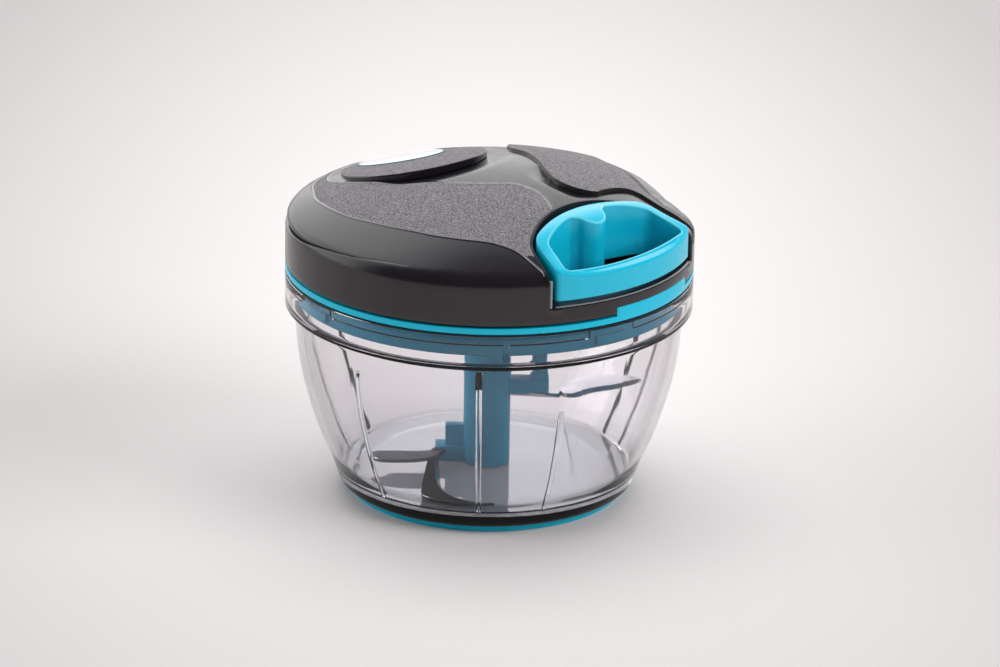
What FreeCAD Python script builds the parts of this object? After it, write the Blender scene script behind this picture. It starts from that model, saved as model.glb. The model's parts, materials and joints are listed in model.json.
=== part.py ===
import FreeCAD, Part
import os, math

os.makedirs("parts", exist_ok=True)
V = FreeCAD.Vector

# ---------------------------------------------------------------- dimensions
# Millimetres.  Origin: centre of the underside, on the surface the chopper
# stands on.  +Z up, +X the way the pull handle comes out.

# base ring and bowl
RING_H = 1.9            # visible height of the grip ring
RING_R_OUT = 42.5
RING_R_IN = 37.6
FOOT_R = 43.0
FLOOR_UNDER = 4.6
FLOOR_TOP = 7.2
WALL_OUT = [(45.7, 3.9), (48.3, 11.25), (51.6, 18.75), (54.7, 28.1),
            (57.2, 37.5), (58.9, 48.75), (59.45, 60.7)]
WALL_T = 2.2
COLLAR_Z = 60.7
COLLAR_R = 62.5
COLLAR_R_IN = 60.9
RIM_Z = 69.3
RIB_AZ = [-147.0, -90.0, -50.5, -25.5, 60.5, 74.5, 100.5, 190.5]
RIB_DEPTH = 1.3
RIB_W = 1.9             # degrees

# bayonet
LUG_AZ = [-10.25, -105.4, 169.75, 79.75]
LUG_W = 10.0            # degrees
SLOT_W = 15.4           # degrees
LUG_R = 60.55
LEDGE_R = 59.85
LUG_Z = (64.4, 66.7)
LEDGE_Z = (67.0, 68.7)

# lid base
SEAL_Z = (69.4, 70.3)
FLANGE_Z = (70.4, 73.2)
FLANGE_R = 62.5
PLATE_T = 2.2
SKIRT_R = 59.5
SKIRT_T = 2.2
SKIRT_Z = 63.0
TAB_AZ = (-9.5, 24.0)
TAB_TOP = 75.2

# cover
COVER_T = 2.2
COVER_R = 62.5
CROWN = 101.1           # height of the dome at the middle
CROWN_R = 153.0         # its radius
SHOULDER_R = 4.4        # round between dome and side
POCKET_FLOOR = (76.6, 78.3)

# handle and its pocket, seen from above: middle of the arch, arch corner, front corner
POCKET_LINE = (33.1, (41.25, 23.75), (54.7, 29.6))
HANDLE_LINE = (34.3, (40.9, 24.5), (54.7, 29.6))
FRONT_R = 62.2
HANDLE_WALL = 3.3
HANDLE_BAR = 4.2
HANDLE_Z0 = 80.0
HANDLE_TOP = [(30.0, 96.9), (41.0, 96.6), (51.0, 91.6), (58.8, 88.0), (63.0, 87.4)]
BOSS_R = 5.6
BOSS_X = 39.6

# reel, spring and cord
CORD_R = 0.9
CORD_Z = 86.0
DRUM_R = 20.0
WIND_R = 23.6
REEL_R = 28.0
REEL_Z = (81.3, 82.5, 89.5, 90.7)
HUB_R = 9.0
JOURNAL_R = 8.0
EYE_X = 28.4
EYE_BEND = 3.0

# blades and shaft
SHAFT_R = 7.2
SHAFT_Z = (7.6, 58.0)
NECK_R = 5.0
NECK_TOP = 65.0
PIN_R = 3.0
RUN = 0.06
LOWER_AZ, MIDDLE_AZ, UPPER_AZ = -47.5, -47.5, 42.5
LOWER_Z, MIDDLE_Z, UPPER_Z = 8.1, 10.7, 29.6
SHOE_AZ = -137.5
BLADE_T = 1.2
ARM_AZ = 42.5


# ------------------------------------------------------------------- helpers
def pol(r, a):
    return r * math.cos(math.radians(a)), r * math.sin(math.radians(a))


def poly_edges(pts):
    return [Part.makeLine(V(*pts[i]), V(*pts[i + 1])) for i in range(len(pts) - 1)]


def spline(pts):
    c = Part.BSplineCurve()
    c.interpolate([V(*p) for p in pts])
    return c.toShape()


def xz(pts):
    return [(r, 0.0, z) for r, z in pts]


def turn(edges, angle=360.0, start=0.0):
    w = Part.Wire(Part.__sortEdges__(edges))
    f = Part.Face(w)
    s = f.revolve(V(0, 0, 0), V(0, 0, 1), angle)
    if start:
        s.rotate(V(0, 0, 0), V(0, 0, 1), start)
    return s if s.ShapeType == "Solid" else Part.Solid(s)


def lathe(pts, angle=360.0, start=0.0):
    """Solid of revolution from a closed (radius, z) outline of straight lines."""
    p = xz(pts) + [xz(pts)[0]]
    return turn(poly_edges(p), angle, start)


def ring(r0, r1, z0, z1, a0=0.0, a1=360.0):
    if r0 <= 0:
        s = Part.makeCylinder(r1, z1 - z0, V(0, 0, z0))
        return s
    return lathe([(r0, z0), (r1, z0), (r1, z1), (r0, z1)], a1 - a0, a0)


def cyl(r, z0, z1, x=0.0, y=0.0):
    return Part.makeCylinder(r, z1 - z0, V(x, y, z0))


def prism(edges, z0, z1):
    f = Part.Face(Part.Wire(Part.__sortEdges__(edges)))
    f.translate(V(0, 0, z0))
    return f.extrude(V(0, 0, z1 - z0))


def rot(s, a):
    s = s.copy()
    s.rotate(V(0, 0, 0), V(0, 0, 1), a)
    return s


def clean(s):
    try:
        t = s.removeSplitter()
        if t.isValid():
            s = t
    except Exception:
        pass
    return s


def save(name, shape, n=1):
    sol = shape.Solids
    if len(sol) != n:
        print("WARNING", name, "has", len(sol), "solids, wanted", n)
    out = sol[0] if len(sol) == 1 else Part.makeCompound(sol)
    print("%-16s valid %s  volume %9.1f  box z %.2f..%.2f" %
          (name, out.isValid(), out.Volume, out.BoundBox.ZMin, out.BoundBox.ZMax))
    out.exportStep("parts/%s.step" % name)
    return out


def offset_profile(pts, d):
    """Shift a (r, z) polyline sideways by d towards the axis."""
    out = []
    for i, (r, z) in enumerate(pts):
        a = pts[max(i - 1, 0)]
        b = pts[min(i + 1, len(pts) - 1)]
        tr, tz = b[0] - a[0], b[1] - a[1]
        n = math.hypot(tr, tz)
        out.append((r - d * tz / n, z + d * tr / n))
    return out


# ---------------------------------------------------------------------- bowl
inner = offset_profile(WALL_OUT, WALL_T)
inner = [(44.5, 8.6)] + [p for p in inner if p[1] > 11.0][:-1] + [(57.25, 60.9)]


def bowl_inner_edges(top_r=COLLAR_R_IN):
    """Inside line: floor, corner arc, wall, shoulder, collar."""
    e = []
    e.append(Part.makeLine(V(0, 0, FLOOR_TOP), V(43.0, 0, FLOOR_TOP)))
    e.append(Part.Arc(V(43.0, 0, FLOOR_TOP), V(44.05, 0, 7.6), V(44.5, 0, 8.6)).toShape())
    e.append(spline(xz(inner)))
    e += poly_edges(xz([(57.25, 60.9), (57.6, 61.5), (top_r - 0.6, 62.0), (top_r, 62.6), (top_r, RIM_Z)]))
    return e


out_pts = [(FOOT_R, RING_H), (44.9, 2.8)] + WALL_OUT
edges = bowl_inner_edges()
edges += poly_edges(xz([(COLLAR_R_IN, RIM_Z), (COLLAR_R - 0.1, RIM_Z), (COLLAR_R, RIM_Z - 0.1),
                        (COLLAR_R, 62.0), (COLLAR_R - 0.5, 61.1), (COLLAR_R - 1.0, COLLAR_Z),
                        (WALL_OUT[-1][0], COLLAR_Z)]))
edges.append(spline(xz(out_pts[::-1])))
edges += poly_edges(xz([(FOOT_R, RING_H), (37.0, RING_H), (36.4, FLOOR_UNDER), (0, FLOOR_UNDER)]))
edges.append(Part.makeLine(V(0, 0, FLOOR_UNDER), V(0, 0, FLOOR_TOP)))
bowl = turn(edges)

# moulded ribs down the inside wall
rib_line = [(r, z) for r, z in inner if z < 54]
rib_line = [(44.3, 8.5)] + rib_line[1:]
rib_in = [(r - RIB_DEPTH - 0.2, z + 0.1) for r, z in rib_line]
rib_back = [(r + 0.9, z) for r, z in rib_line]
ribs = []
for a in RIB_AZ:
    pts = rib_in + [(rib_back[-1][0], rib_back[-1][1] + 2.2)] + rib_back[::-1] + [(43.0, 6.6), (41.2, 6.6), (42.4, 8.0)]
    e = poly_edges(xz(pts + [pts[0]]))
    ribs.append(turn(e, RIB_W, a - RIB_W / 2))
bowl = bowl.fuse(ribs)

# socket of the pivot pin
bowl = bowl.cut(cyl(PIN_R, 5.4, 20))

# bayonet ledges inside the collar, broken by the entry slots, with a stop each
order = sorted(a % 360 for a in LUG_AZ)
for i, a in enumerate(order):
    b = order[(i + 1) % 4] + (360 if i == 3 else 0)
    bowl = bowl.fuse(ring(LEDGE_R, COLLAR_R_IN + 0.5, LEDGE_Z[0], LEDGE_Z[1], a + SLOT_W / 2, b - SLOT_W / 2))
for a in LUG_AZ:
    s0 = a - 25.0 - LUG_W / 2 - 1.2
    bowl = bowl.fuse(ring(LEDGE_R, COLLAR_R_IN + 0.5, 63.6, LEDGE_Z[0] + 0.5, s0 - 1.6, s0))
# groove for the tongue of the grip ring
bowl = bowl.cut(ring(39.2, 41.0, RING_H - 1, 3.6))
bowl = clean(bowl)
save("bowl", bowl)

base_ring = lathe([(RING_R_IN, 0), (RING_R_OUT - 0.5, 0), (RING_R_OUT, 0.5), (RING_R_OUT + 0.2, RING_H),
                   (41.0, RING_H), (41.0, 3.6), (39.2, 3.6), (39.2, RING_H), (RING_R_IN, RING_H)])
save("base_ring", base_ring)

pin = cyl(PIN_R, 5.4, 43.5).fuse(Part.makeCone(PIN_R, PIN_R - 0.8, 0.8, V(0, 0, 43.5)))
save("pivot_pin", clean(pin))

# ---------------------------------------------------------------- blade unit
# plan of each blade as (along, across) its own direction: outer edge from root to
# tip, then inner edge from tip to root, then straight runs that close the root;
# the sickle blade also has a square tang
OUTER = {
    "lower": [(-5.6, -16.2), (-2.5, -17.3), (1.0, -17.8), (9.5, -18.3), (19.0, -18.9), (28.2, -19.3), (35.6, -18.4), (39.2, -12.2),
              (40.8, -4.5), (41.0, 2.7)],
    "middle": [(0.5, -13.5), (2.6, -17.0), (3.6, -21.0), (3.8, -25.0), (4.0, -29.0), (5.4, -34.4)],
    "upper": [(23.5, -3.3), (26.9, -3.6), (32.5, 0.8), (40.3, 4.6), (44.5, 7.6), (48.2, 10.9)],
}
INNER = {
    "lower": [(41.0, 2.7), (39.6, -1.8), (37.2, -6.0), (31.8, -10.6), (22.9, -13.6), (10.9, -14.3), (0.8, -14.7), (-3.0, -14.9),
              (-5.6, -15.3)],
    "middle": [(5.4, -34.4), (8.6, -35.2), (12.2, -33.2), (12.6, -27.5), (11.5, -20.5), (8.6, -16.0), (4.2, -13.6), (2.2, -11.5)],
    "upper": [(48.2, 10.9), (44.5, 13.2), (39.5, 14.4), (34.5, 13.9), (30.0, 12.0), (26.3, 9.1), (24.4, 5.5), (22.4, 2.8)],
}
ROOT = {
    "lower": [(-5.6, -15.3), (-5.6, -16.2)],
    "middle": [(2.2, -11.5), (2.2, -5.0), (-1.4, -5.0), (-1.4, -13.5), (0.5, -13.5)],
    "upper": [(22.4, 2.8), (5.2, 2.4), (5.2, -2.2), (14.0, -3.3), (22.4, -4.0), (22.8, -2.0), (23.5, -3.3)],
}


def blade(kind, az, z):
    e = [spline([(u, v, 0) for u, v in OUTER[kind]]), spline([(u, v, 0) for u, v in INNER[kind]])]
    e += poly_edges([(u, v, 0) for u, v in ROOT[kind]])
    b = prism(e, z, z + BLADE_T)
    if kind == "lower":
        b = clean(b.fuse(Part.makeBox(4.4, 11.0, BLADE_T, V(-2.2, -16.0, z))))
    return rot(b, az)


lower = blade("lower", LOWER_AZ, LOWER_Z)
middle = blade("middle", MIDDLE_AZ, MIDDLE_Z)
upper = blade("upper", UPPER_AZ, UPPER_Z)

shaft = cyl(SHAFT_R, SHAFT_Z[0], SHAFT_Z[1]).fuse(cyl(NECK_R, SHAFT_Z[1] - 1, NECK_TOP))
# driven dogs on the neck
DOG_HALF = 1.3
for k in (0, 180):
    d = Part.makeBox(7.0, 2 * DOG_HALF, NECK_TOP - SHAFT_Z[1] - 1.0, V(0, -DOG_HALF, SHAFT_Z[1] + 1.0))
    shaft = shaft.fuse(rot(d, ARM_AZ + k))
# shoe that holds the two low blades: a wide foot and a narrower block on it
shaft = shaft.fuse(rot(Part.makeBox(15.8, 6.0, 4.8, V(0, -3.0, 7.8)), SHOE_AZ))
shaft = shaft.fuse(rot(Part.makeBox(12.7, 3.4, 11.2, V(0, -1.7, 7.9)), SHOE_AZ))
# upper arm with its upright finger
shaft = shaft.fuse(rot(Part.makeBox(18.9, 6.4, 4.8, V(0, -3.2, 30.2)), ARM_AZ))
shaft = shaft.fuse(rot(Part.makeBox(5.4, 6.0, 2.9, V(13.2, -3.0, 34.8)), ARM_AZ))
shaft = shaft.fuse(rot(Part.makeBox(4.6, 4.8, 27.0, V(13.7, -2.4, 34.8)), ARM_AZ))
shaft = shaft.cut(cyl(PIN_R + RUN, 0, 44.6))
for b in (lower, middle, upper):
    shaft = shaft.cut(b)
save("blade_shaft", clean(shaft))
hub_void = cyl(PIN_R + RUN, 0, 44.6)
for nm, b in (("lower_blade", lower), ("middle_blade", middle), ("upper_blade", upper)):
    b = b.cut(hub_void)
    save(nm, b)

# ------------------------------------------------------------------ lid seal
seal = lathe([(60.0, SEAL_Z[0]), (62.2, SEAL_Z[0]), (62.45, SEAL_Z[0] + 0.25), (62.45, SEAL_Z[1] - 0.2),
              (62.25, SEAL_Z[1]), (60.0, SEAL_Z[1])])
save("lid_seal", seal)

# ------------------------------------------------------------------ lid base
Z0, Z1 = FLANGE_Z
lid = lathe([(9.8, Z0), (SKIRT_R - SKIRT_T, Z0), (SKIRT_R - SKIRT_T, SKIRT_Z + 0.2), (SKIRT_R - SKIRT_T + 0.2, SKIRT_Z),
             (SKIRT_R - 0.3, SKIRT_Z), (SKIRT_R, SKIRT_Z + 0.4), (SKIRT_R, Z0), (FLANGE_R - 0.4, Z0),
             (FLANGE_R, Z0 + 0.4), (FLANGE_R, Z1), (58.2, Z1), (58.2, Z0 + PLATE_T), (9.8, Z0 + PLATE_T)])
lid = lid.fuse(ring(60.2, FLANGE_R, Z1 - 0.5, TAB_TOP, TAB_AZ[0], TAB_AZ[1]))
for a in LUG_AZ:
    lid = lid.fuse(ring(SKIRT_R - 0.5, LUG_R, LUG_Z[0], LUG_Z[1], a - LUG_W / 2, a + LUG_W / 2))
# spring cup
SPRING_Z = (73.4, 78.4)
CUP_TOP = 79.6
lid = lid.fuse(ring(26.4, 27.8, Z0 + 1, CUP_TOP))
# screw places
SCREW_AZ = [75.0, 150.0, -150.0, -75.0]
SCREW_AT = [pol(49.0, a) for a in SCREW_AZ]
for x, y in SCREW_AT:
    lid = lid.fuse(cyl(4.6, Z0 + 1, 74.6, x, y))
    lid = lid.cut(cyl(3.1, Z0 - 1, 72.8, x, y)).cut(cyl(1.6, Z0, 76, x, y))
lid = clean(lid)
save("lid_base", lid)

bush = lathe([(JOURNAL_R + RUN, Z0 - 0.2), (9.8, Z0 - 0.2), (9.8, Z0 + PLATE_T), (11.0, Z0 + PLATE_T),
              (11.0, Z0 + PLATE_T + 0.6), (JOURNAL_R + RUN, Z0 + PLATE_T + 0.6)])
save("reel_bush", bush)

# --------------------------------------------------------------------- reel
reel = lathe([(0, Z0 - 0.4), (JOURNAL_R, Z0 - 0.4), (JOURNAL_R, 73.5), (HUB_R, 73.5), (HUB_R, REEL_Z[0]),
              (REEL_R, REEL_Z[0]), (REEL_R, REEL_Z[1]), (DRUM_R, REEL_Z[1]), (DRUM_R, REEL_Z[2]),
              (REEL_R, REEL_Z[2]), (REEL_R, REEL_Z[3]), (7.0, REEL_Z[3]), (7.0, 91.6), (0, 91.6)])
# lightening pockets in the drum from above, and the bores
reel = reel.cut(ring(10.5, 18.2, 83.7, 95))
for k in range(6):
    web = Part.makeBox(10, 1.6, REEL_Z[3] - 83.0, V(9.4, -0.8, 83.0))
    reel = reel.fuse(rot(web, 60 * k))
reel = reel.cut(cyl(PIN_R + RUN, 84.0, 95)).cut(cyl(1.5, Z0 - 2, 79.0))
save("reel", clean(reel))

axle = cyl(PIN_R, 84.4, 97.2)
save("reel_axle", axle)

# wound cord: the closed outer shape of the turns that lie on the drum
save("cord_winding", ring(DRUM_R + 0.02, WIND_R, REEL_Z[1] + 0.02, REEL_Z[2] - 0.02))

# cup that takes hold of the dogs of the blade shaft
COUP_Z = (58.6, 67.4, Z0 - 0.4)
coup = cyl(9.5, COUP_Z[0], COUP_Z[2]).cut(cyl(7.4, COUP_Z[0] - 1, COUP_Z[1])).cut(cyl(1.5, 60, 75))
RIB_BACK = 36.0
for k in (0, 180):
    d = Part.makeBox(2.6, 2.6, COUP_Z[1] - COUP_Z[0] - 0.6, V(5.35, -1.3, COUP_Z[0] + 0.6))
    coup = coup.fuse(rot(d, ARM_AZ - RIB_BACK + k))
save("drive_coupling", clean(coup))
screw = cyl(2.8, 65.4, COUP_Z[1]).fuse(cyl(1.5, COUP_Z[1], 78.6))
screw = screw.cut(Part.makeBox(0.8, 4.4, 0.9, V(-0.4, -2.2, 65.3))).cut(Part.makeBox(4.4, 0.8, 0.9, V(-2.2, -0.4, 65.3)))
save("coupling_screw", clean(screw))

# ------------------------------------------------------------ recoil spring
TURNS, S_IN, S_OUT, S_T = 7, 9.8, 25.6, 0.5


def spiral(r0, r1, n):
    pts = []
    for i in range(n + 1):
        t = i / n
        a = 2 * math.pi * TURNS * t
        r = r0 + (r1 - r0) * t
        pts.append((r * math.cos(a), r * math.sin(a), 0))
    return pts


N = TURNS * 16
si, so = spiral(S_IN, S_OUT - S_T, N), spiral(S_IN + S_T, S_OUT, N)
sp = prism([spline(si), spline(so), Part.makeLine(V(*si[0]), V(*so[0])), Part.makeLine(V(*si[-1]), V(*so[-1]))],
           SPRING_Z[0], SPRING_Z[1])
save("recoil_spring", sp)
cov = ring(9.8, 27.8, CUP_TOP, CUP_TOP + 1.0)
for k in range(6):
    x, y = pol(18.5, 60 * k + 30)
    cov = cov.cut(cyl(2.6, CUP_TOP - 1, CUP_TOP + 2, x, y))
save("spring_cover", cov)

# -------------------------------------------------------------------- handle
def handle_outline(d=0.0, front=FRONT_R, extra_side=0.0, line=HANDLE_LINE):
    """Closed edges of the handle's plan, grown outward by d."""
    mid_x, (AX, AY), (BX, BY) = line
    dx, dy = BX - AX, BY - AY
    n = math.hypot(dx, dy)
    ox, oy = -dy / n * (d + extra_side), dx / n * (d + extra_side)
    m = (mid_x - d, 0, 0)
    # arch circle through both corners and the middle
    s = AX - mid_x
    R = (AY * AY + s * s) / (2 * s)
    cx = mid_x + R
    Rd = R + d
    # side line
    p0 = (AX + ox, AY + oy)
    u = (dx / n, dy / n)
    # meet of side line with arch circle
    fx, fy = p0[0] - cx, p0[1]
    b = fx * u[0] + fy * u[1]
    c = fx * fx + fy * fy - Rd * Rd
    disc = b * b - c
    t = -b - math.sqrt(disc)
    t2 = -b + math.sqrt(disc)
    cand = [(p0[0] + k * u[0], p0[1] + k * u[1]) for k in (t, t2)]
    a1 = min(cand, key=lambda q: math.hypot(q[0] - AX, q[1] - AY))
    # meet of side line with the front circle
    b = p0[0] * u[0] + p0[1] * u[1]
    c = p0[0] ** 2 + p0[1] ** 2 - front * front
    t = -b + math.sqrt(b * b - c)
    b1 = (p0[0] + t * u[0], p0[1] + t * u[1])
    return [Part.Arc(V(a1[0], -a1[1], 0), V(*m), V(a1[0], a1[1], 0)).toShape(),
            Part.makeLine(V(a1[0], a1[1], 0), V(b1[0], b1[1], 0)),
            Part.Arc(V(b1[0], b1[1], 0), V(front, 0, 0), V(b1[0], -b1[1], 0)).toShape(),
            Part.makeLine(V(b1[0], -b1[1], 0), V(a1[0], -a1[1], 0))]


h = prism(handle_outline(), HANDLE_Z0, 98)
vert = [e for e in h.Edges if abs(e.Vertexes[0].X - e.Vertexes[-1].X) < 1e-6 and abs(e.Vertexes[0].Y - e.Vertexes[-1].Y) < 1e-6
        and abs(e.Vertexes[0].Z - e.Vertexes[-1].Z) > 5]
h = h.makeFillet(2.6, vert)
hole = prism(handle_outline(-HANDLE_WALL), HANDLE_Z0 - 1, 99)
hole = hole.common(Part.makeCylinder(105.0, 22, V(FRONT_R - HANDLE_BAR - 105.0, 0, HANDLE_Z0 - 2)))
vert = [e for e in hole.Edges if abs(e.Vertexes[0].X - e.Vertexes[-1].X) < 1e-6 and abs(e.Vertexes[0].Y - e.Vertexes[-1].Y) < 1e-6
        and abs(e.Vertexes[0].Z - e.Vertexes[-1].Z) > 5]
hole = hole.makeFillet(2.2, vert)
h = h.cut(hole)
boss = Part.makeBox(BOSS_X - 36.0, 2 * BOSS_R, 18, V(36.0, -BOSS_R, HANDLE_Z0)).fuse(cyl(BOSS_R, HANDLE_Z0, 98, BOSS_X, 0))
h = h.fuse(boss)
# top line: level over the arch, then falling to the front bar
tp = HANDLE_TOP
cutter = Part.Face(Part.makePolygon([V(tp[0][0], -40, tp[0][1])] + [V(x, -40, z) for x, z in tp[1:]] +
                                    [V(tp[-1][0], -40, 105), V(tp[0][0], -40, 105), V(tp[0][0], -40, tp[0][1])]))
h = h.cut(cutter.extrude(V(0, 80, 0)))
# knot seat and cord hole
KNOT_X = 40.6
h = h.cut(cyl(2.9, HANDLE_Z0 - 1, 90.0, KNOT_X, 0))
h = h.cut(Part.makeCylinder(1.15, 12, V(30, 0, CORD_Z), V(1, 0, 0)))
handle = clean(h)
save("pull_handle", handle)

stub = Part.makeCylinder(CORD_R, KNOT_X - 32.6, V(32.6, 0, CORD_Z), V(1, 0, 0))
knot = stub.fuse(Part.makeSphere(2.5, V(KNOT_X, 0, CORD_Z)))
knot = knot.fuse(Part.makeTorus(1.5, 0.9, V(KNOT_X, 0, CORD_Z - 1.6), V(0, 0, 1)))
save("cord_knot", clean(knot))

# --------------------------------------------------------------------- cord
th = math.acos((DRUM_R + WIND_R + 2 * CORD_R) / 2 / EYE_X)
RL = (DRUM_R + WIND_R + 2 * CORD_R) / 2
T = V(RL * math.cos(th), -RL * math.sin(th), CORD_Z)
E = V(EYE_X, 0, CORD_Z)
d = (E - T)
L = d.Length
d.normalize()
bend = math.pi / 2 - th
tl = EYE_BEND * math.tan(bend / 2)
START = 10.0
p0 = T + d * START
p1 = E - d * tl
p2 = E + V(tl, 0, 0)
mid_dir = (V(1, 0, 0) - d)
mid_dir.normalize()
cen_d = EYE_BEND / math.cos(bend / 2)
cen = E + mid_dir * cen_d
pm = cen - mid_dir * EYE_BEND
p3 = V(32.0, 0, CORD_Z)
path = Part.Wire([Part.LineSegment(p0, p1).toShape(), Part.Arc(p1, pm, p2).toShape(), Part.LineSegment(p2, p3).toShape()])
circ = Part.Wire([Part.Circle(p0, d, CORD_R).toShape()])
lead = path.makePipeShell([circ], True, True)
print("cord lead: bend radius %.1f, length %.2f, volume %.2f, section x length %.2f" %
      (EYE_BEND, path.Length, lead.Volume, math.pi * CORD_R ** 2 * path.Length))
save("cord_lead", lead)
print("cord: winding radius", RL, "full draw turns", 500 / (2 * math.pi * RL))

# --------------------------------------------------------------------- cover
def dome_solid(shrink, z0):
    """Crown, round shoulder and straight side, each set in by shrink."""
    c0 = CROWN - CROWN_R
    rho, R, side = SHOULDER_R - shrink, CROWN_R - shrink, COVER_R - shrink
    cr = side - rho
    cz = c0 + math.sqrt((R - rho) ** 2 - cr ** 2)
    ux, uz = cr / (R - rho), (cz - c0) / (R - rho)
    t = (cr + rho * ux, cz + rho * uz)
    mx, mz = (1 + ux), uz
    n = math.hypot(mx, mz)
    a2 = 0.5 * math.asin(t[0] / R)
    e = [Part.makeLine(V(side, 0, z0), V(side, 0, cz)),
         Part.Arc(V(side, 0, cz), V(cr + rho * mx / n, 0, cz + rho * mz / n), V(t[0], 0, t[1])).toShape(),
         Part.Arc(V(t[0], 0, t[1]), V(R * math.sin(a2), 0, c0 + R * math.cos(a2)), V(0, 0, c0 + R)).toShape(),
         Part.makeLine(V(0, 0, c0 + R), V(0, 0, z0)),
         Part.makeLine(V(0, 0, z0), V(side, 0, z0))]
    return turn(e)


outer = dome_solid(0, Z1)
core = dome_solid(COVER_T, Z1 - 5)
GAP_ARCH, GAP_SIDE, PWALL = 1.5, 0.7, 1.6
void = prism(handle_outline(GAP_ARCH, 80.0, GAP_SIDE, POCKET_LINE), POCKET_FLOOR[1], 110)
block = prism(handle_outline(GAP_ARCH + PWALL, 80.0, GAP_SIDE, POCKET_LINE), POCKET_FLOOR[0], 110)
# what stays solid inside the shell: pocket walls, axle boss, screw posts
core = core.cut(block)
core = core.cut(cyl(5.0, 93.0, 110))
for x, y in SCREW_AT:
    core = core.cut(cyl(3.6, 74.6, 110, x, y))
cover = outer.cut(core).cut(void)
# lower edge steps up over the finger tab
cover = cover.cut(ring(50.0, 70.0, Z1 - 1, TAB_TOP, TAB_AZ[0], TAB_AZ[1]))
cover = cover.cut(cyl(PIN_R, 80, 97.2))
for x, y in SCREW_AT:
    cover = cover.cut(cyl(1.5, 70, 86.4, x, y))
cover = cover.cut(Part.makeCylinder(2.5, 6, V(28.5, 0, CORD_Z), V(1, 0, 0)))
print("cover solids", [round(s.Volume, 1) for s in cover.Solids])

# raised oval cap, seated in a shallow recess of the dome.  Its top leans back:
# proud of the dome towards the front, level with it at the back
OV_C = (-32.9, 0.7)
OV_AZ = 103.7           # direction of the long axis
OV_A, OV_B = 24.8, 21.7
LEAN = (4.0, -4.35)


def crown(dz, lean=(0, 0)):
    return Part.makeSphere(CROWN_R, V(lean[0], lean[1], CROWN + dz - CROWN_R))


def oval(a, b, z0, z1, grow=0.0):
    s = prism([Part.Ellipse(V(0, 0, 0), a + grow, b + grow).toShape()], z0, z1)
    s.rotate(V(0, 0, 0), V(0, 0, 1), OV_AZ)
    s.translate(V(OV_C[0], OV_C[1], 0))
    return s


cap = oval(OV_A, OV_B, 85, 115, -0.02).common(crown(1.75, LEAN)).cut(crown(-0.88))
cover = clean(cover.cut(oval(OV_A, OV_B, 85, 115).cut(crown(-0.9))))
save("lid_cover", cover)

IN_C, IN_R = (-38.9, 1.1), 12.7
seat = cyl(IN_R + 0.8, 85, 115, *IN_C).cut(crown(1.15, LEAN))
badge = cyl(IN_R + 0.78, 85, 115, *IN_C).common(crown(2.05, LEAN)).cut(crown(1.17, LEAN))
mid_in = cyl(IN_R, 80, 120, *IN_C)
save("oval_cap", clean(cap.cut(seat)))
save("badge_rim", clean(badge.cut(mid_in)))
save("badge_insert", clean(badge.common(mid_in)))

# cord eyelet in the pocket wall
eye = Part.makeCylinder(2.48, 1.8, V(30.0, 0, CORD_Z), V(1, 0, 0))
eye = eye.fuse(Part.makeCylinder(3.2, 0.35, V(31.77, 0, CORD_Z), V(1, 0, 0)))
eye = eye.cut(Part.makeCylinder(CORD_R + 0.1, 6, V(28, 0, CORD_Z), V(1, 0, 0)))
save("cord_eyelet", clean(eye))

# lid screws, one set
scr = []
for x, y in SCREW_AT:
    s = cyl(2.8, 70.8, 72.8, x, y).fuse(cyl(1.5, 72.8, 86.0, x, y))
    s = s.cut(Part.makeBox(0.8, 4.2, 0.9, V(x - 0.4, y - 2.1, 70.7))).cut(Part.makeBox(4.2, 0.8, 0.9, V(x - 2.1, y - 0.4, 70.7)))
    scr.append(clean(s))
save("lid_screws", Part.makeCompound(scr), 4)
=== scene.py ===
import bpy, bmesh, math, json
import numpy as np
from mathutils import Vector, Matrix
from mathutils.geometry import delaunay_2d_cdt

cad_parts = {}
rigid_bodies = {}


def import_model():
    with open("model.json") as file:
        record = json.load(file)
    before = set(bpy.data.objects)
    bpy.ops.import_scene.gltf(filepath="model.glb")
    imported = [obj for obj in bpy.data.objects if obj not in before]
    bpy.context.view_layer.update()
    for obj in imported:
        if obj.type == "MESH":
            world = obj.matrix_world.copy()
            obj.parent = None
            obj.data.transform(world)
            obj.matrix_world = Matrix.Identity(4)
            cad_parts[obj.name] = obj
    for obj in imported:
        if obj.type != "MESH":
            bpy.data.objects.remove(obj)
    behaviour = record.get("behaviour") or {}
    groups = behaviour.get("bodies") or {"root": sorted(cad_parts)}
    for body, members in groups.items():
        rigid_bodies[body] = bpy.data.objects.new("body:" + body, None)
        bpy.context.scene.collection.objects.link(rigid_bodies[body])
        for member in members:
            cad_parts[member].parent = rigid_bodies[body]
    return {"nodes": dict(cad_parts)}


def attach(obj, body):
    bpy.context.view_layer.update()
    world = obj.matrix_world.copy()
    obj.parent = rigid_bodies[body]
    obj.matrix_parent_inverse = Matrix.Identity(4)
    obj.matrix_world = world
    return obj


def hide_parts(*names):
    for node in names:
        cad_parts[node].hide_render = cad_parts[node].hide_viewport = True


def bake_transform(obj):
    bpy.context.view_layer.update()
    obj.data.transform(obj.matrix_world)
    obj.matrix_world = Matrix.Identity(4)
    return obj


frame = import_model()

for _n in ("Cube", "Light", "Camera"):
    if _n in bpy.data.objects and _n not in frame["nodes"]:
        bpy.data.objects.remove(bpy.data.objects[_n])
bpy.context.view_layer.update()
NODES = frame["nodes"]
MM = 0.001
SCENE = bpy.context.scene


# =====================================================================  helpers
def smooth(t):
    t = np.clip(t, 0.0, 1.0)
    return t * t * (3 - 2 * t)


def ramp(x, a, b):
    """0 at a, 1 at b, smooth between."""
    return smooth((np.asarray(x, float) - a) / (b - a))


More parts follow.
